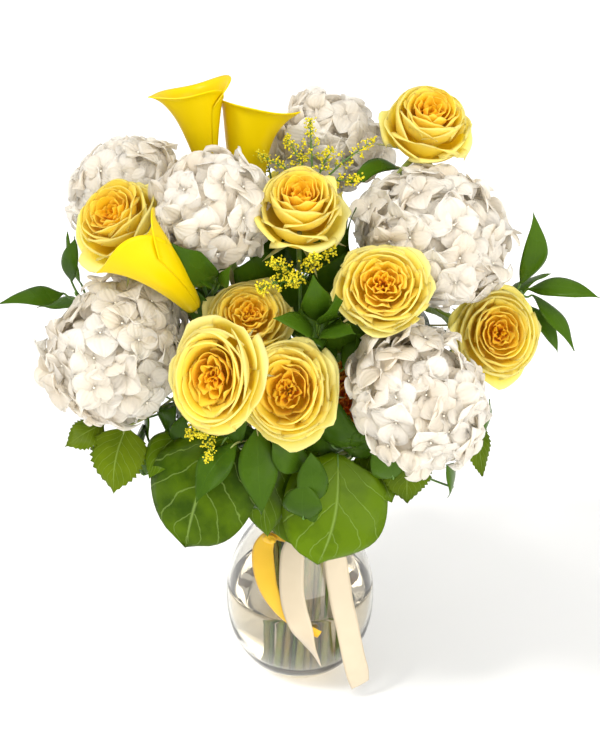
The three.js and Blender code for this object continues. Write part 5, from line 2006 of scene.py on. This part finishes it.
RIBBONS = (
    Ribbon("ribbon_yellow", YELLOW_SATIN, 174.5, (-30, -39, 178), (
        Tail(
            ((-30, -38, 180), (-36, -42, 166), (-35, -52, 150), (-30, -63, 134), (-20, -71, 118),
             (-4, -75, 103), (19, -77, 90)),
            ((0.9, -0.4, 0), (0.9, -0.45, 0.1), (0.9, -0.4, 0.2), (0.8, -0.2, 0.5), (0.6, -0.1, 0.8),
             (0.45, 0, 0.9), (0.3, 0, 0.95)),
            (14, 23, 24, 20, 15, 12, 9),
        ),
    )),
    Ribbon("ribbon_cream", CREAM_SATIN, 182.6, (-2, -49, 186), (
        Tail(
            ((-5, -48, 187), (-7, -54, 174), (-8, -62, 158), (-8, -71, 140), (-5, -78, 122), (1, -83, 104),
             (8, -84, 84), (15, -83, 68), (19, -80, 56)),
            ((1, 0, 0), (1, 0, 0), (1, -0.05, 0), (1, -0.1, 0), (1, -0.1, 0.1), (1, -0.1, 0.12),
             (0.75, -0.6, 0.2), (0.5, -0.8, 0.2), (0.3, -0.9, 0.2)),
            (12, 22, 24, 24, 24, 22, 18, 13, 9),
        ),
        Tail(
            ((2, -48, 186), (24, -46, 178), (33, -47, 164), (37, -56, 142), (41, -66, 120), (46, -71, 98),
             (50, -73, 76), (54, -73, 54), (58, -70, 34), (61, -64, 15)),
            ((0, 0.3, 0.95), (0.7, 0.2, 0.6), (0.95, 0.25, 0.1), (0.93, 0.35, 0.1), (0.9, 0.42, 0.1),
             (0.9, 0.42, 0.1), (0.9, 0.42, 0.12), (0.9, 0.42, 0.15), (0.9, 0.42, 0.15), (0.9, 0.42, 0.2)),
            (8, 16, 22, 24, 24, 24, 24, 24, 24, 20),
        ),
    )),
)


# ---- floor, light and camera


@dataclass(frozen=True)
class LaminateFinish(Finish):
    """White laminate: a dull even top with faint clouds, in millimetres, on which only the shadow shows."""

    name: str = "white_laminate"

    cloud = 333.3

    def lay(self, add: Callable) -> None:
        """Lays the nodes.

        Args:
            add: Adds one node and gives its output.
        """
        cloud = {"Vector": add("TexCoord", out="Object"), "Scale": spots(self.cloud), "Detail": 2.0}
        colour = add("ValToRGB", {"Fac": add("TexNoise", cloud)}, stops={0.3: "#FAFAFA", 0.7: "#FCFCFC"})
        coat = add("BsdfPrincipled", {"Base Color": colour, "Roughness": 0.8, "Specular IOR Level": 0.1})
        add("OutputMaterial", {"Surface": coat})


@dataclass(frozen=True)
class Studio:
    """A plain white table, soft daylight from the upper left and a camera in front, in metres.

    Each lamp has its name, where it stands, its strength and how large it looks, in radians.
    """

    camera_at: Triple = (0.0, -1.2557, 1.064)
    looks_at: Triple = (0.0, 0.0, 0.339)
    lens: float = 73.97
    lamps: tuple[tuple[str, Triple, float, float], ...] = (
        ("window", (-0.27, -0.12, 0.43), 2.05, 0.24), ("reflector", (0.55, -0.85, 0.3), 2.95, 1.1),
    )
    lamp_colour: str = "#FFFDF8"
    sky: float = 0.76
    table_half: float = 60.0
    table_gap: float = 0.0003

    def _place(self, name: str, data: bpy.types.ID, at: Triple, aim: Triple) -> bpy.types.Object:
        """Puts the camera or a lamp in its place.

        Args:
            name: The object's name.
            data: The camera or the lamp.
            at: Where it stands.
            aim: The point that it is turned to.

        Returns:
            The new object.
        """
        thing = bpy.data.objects.new(name, data)
        thing.location = at
        thing.rotation_euler = (Vector(aim) - Vector(at)).to_track_quat("-Z", "Y").to_euler()
        bpy.context.scene.collection.objects.link(thing)
        return thing

    def _table(self) -> None:
        """Builds the table top, just under the vase's foot."""
        mesh = bmesh.new()
        bmesh.ops.create_grid(mesh, x_segments=4, y_segments=4, size=self.table_half)
        top = bpy.data.meshes.new("table")
        mesh.to_mesh(top)
        mesh.free()
        top.materials.append(LaminateFinish().material)
        table = bpy.data.objects.new("table", top)
        table.location = (0.0, 0.0, -self.table_gap)
        bpy.context.scene.collection.objects.link(table)

    def build(self) -> None:
        """Builds the camera, the table and the lights."""
        scene = bpy.context.scene
        camera = bpy.data.cameras.new("camera")
        camera.lens = self.lens
        scene.camera = self._place("camera", camera, self.camera_at, self.looks_at)
        self._table()
        for name, at, power, angle in self.lamps:
            lamp = bpy.data.lights.new(name, "SUN")
            lamp.energy = power
            lamp.angle = angle
            lamp.color = linear(self.lamp_colour)[:3]
            self._place(name, lamp, at, (0.0, 0.0, 0.0))
        scene.world = bpy.data.worlds.new("studio")
        scene.world.use_nodes = True
        sky = scene.world.node_tree.nodes["Background"].inputs
        sky["Color"].default_value = linear("#FFFFFF")
        sky["Strength"].default_value = self.sky
        scene.view_settings.view_transform = "Standard"


# ---- assembly


def all_stems() -> dict[str, Stem]:
    """Routes every stem.

    Returns:
        The stems by the name of their CAD nodes.
    """
    stems = []
    for head in HEADS:
        facing = head.axes[2]
        depth = head.radii[2] * (0.72 if head.kind is Kind.ROSE else 0.9) + Bundle.gap
        radius = 2.3 if head.kind is Kind.ROSE else 2.8
        stems.append(Stem(f"{head.name}_stem", Vector(head.at) - facing * depth, facing, radius, head=head))
    for calla in CALLAS:
        comes = (Vector(calla.mouth) - Vector(calla.base)).normalized()
        stems.append(Stem(f"{calla.name}_stem", Vector(calla.base) - comes * Bundle.gap, comes, 3.6))
    for sprig in (*SPRIGS[Foliage.RUSCUS], *SPRIGS[Foliage.SALAL], *SPRAYS):
        comes = Vector(sprig.comes).normalized()
        stems.append(Stem(sprig.name, Vector(sprig.top), comes, 1.5, sprig.leans))
    Bundle(stems)
    return {stem.name: stem for stem in stems}


def main() -> None:
    """Builds every piece in order; each piece logs its face count."""
    logging.basicConfig(level=logging.INFO, format="%(message)s")
    Studio().build()
    Vase().build()
    for ribbon in RIBBONS:
        ribbon.build()
    for head in HEADS:
        (Rose if head.kind is Kind.ROSE else Hydrangea)(head).build()
    for calla in CALLAS:
        calla.build()
    stems = all_stems()
    for carried in (*HEADS, *CALLAS):
        FlowerStem(stems[f"{carried.name}_stem"], FLOWER_LEAVES.get(carried.name, ())).build()
    for foliage, sprigs in SPRIGS.items():
        for sprig in sprigs:
            sprig.build(stems[sprig.name], foliage)
    for foliage, filling in FILLINGS.items():
        filling.build(list(stems.values()), foliage)
    for spray in SPRAYS:
        spray.build(stems[spray.name])


if __name__ == "__main__":
    main()
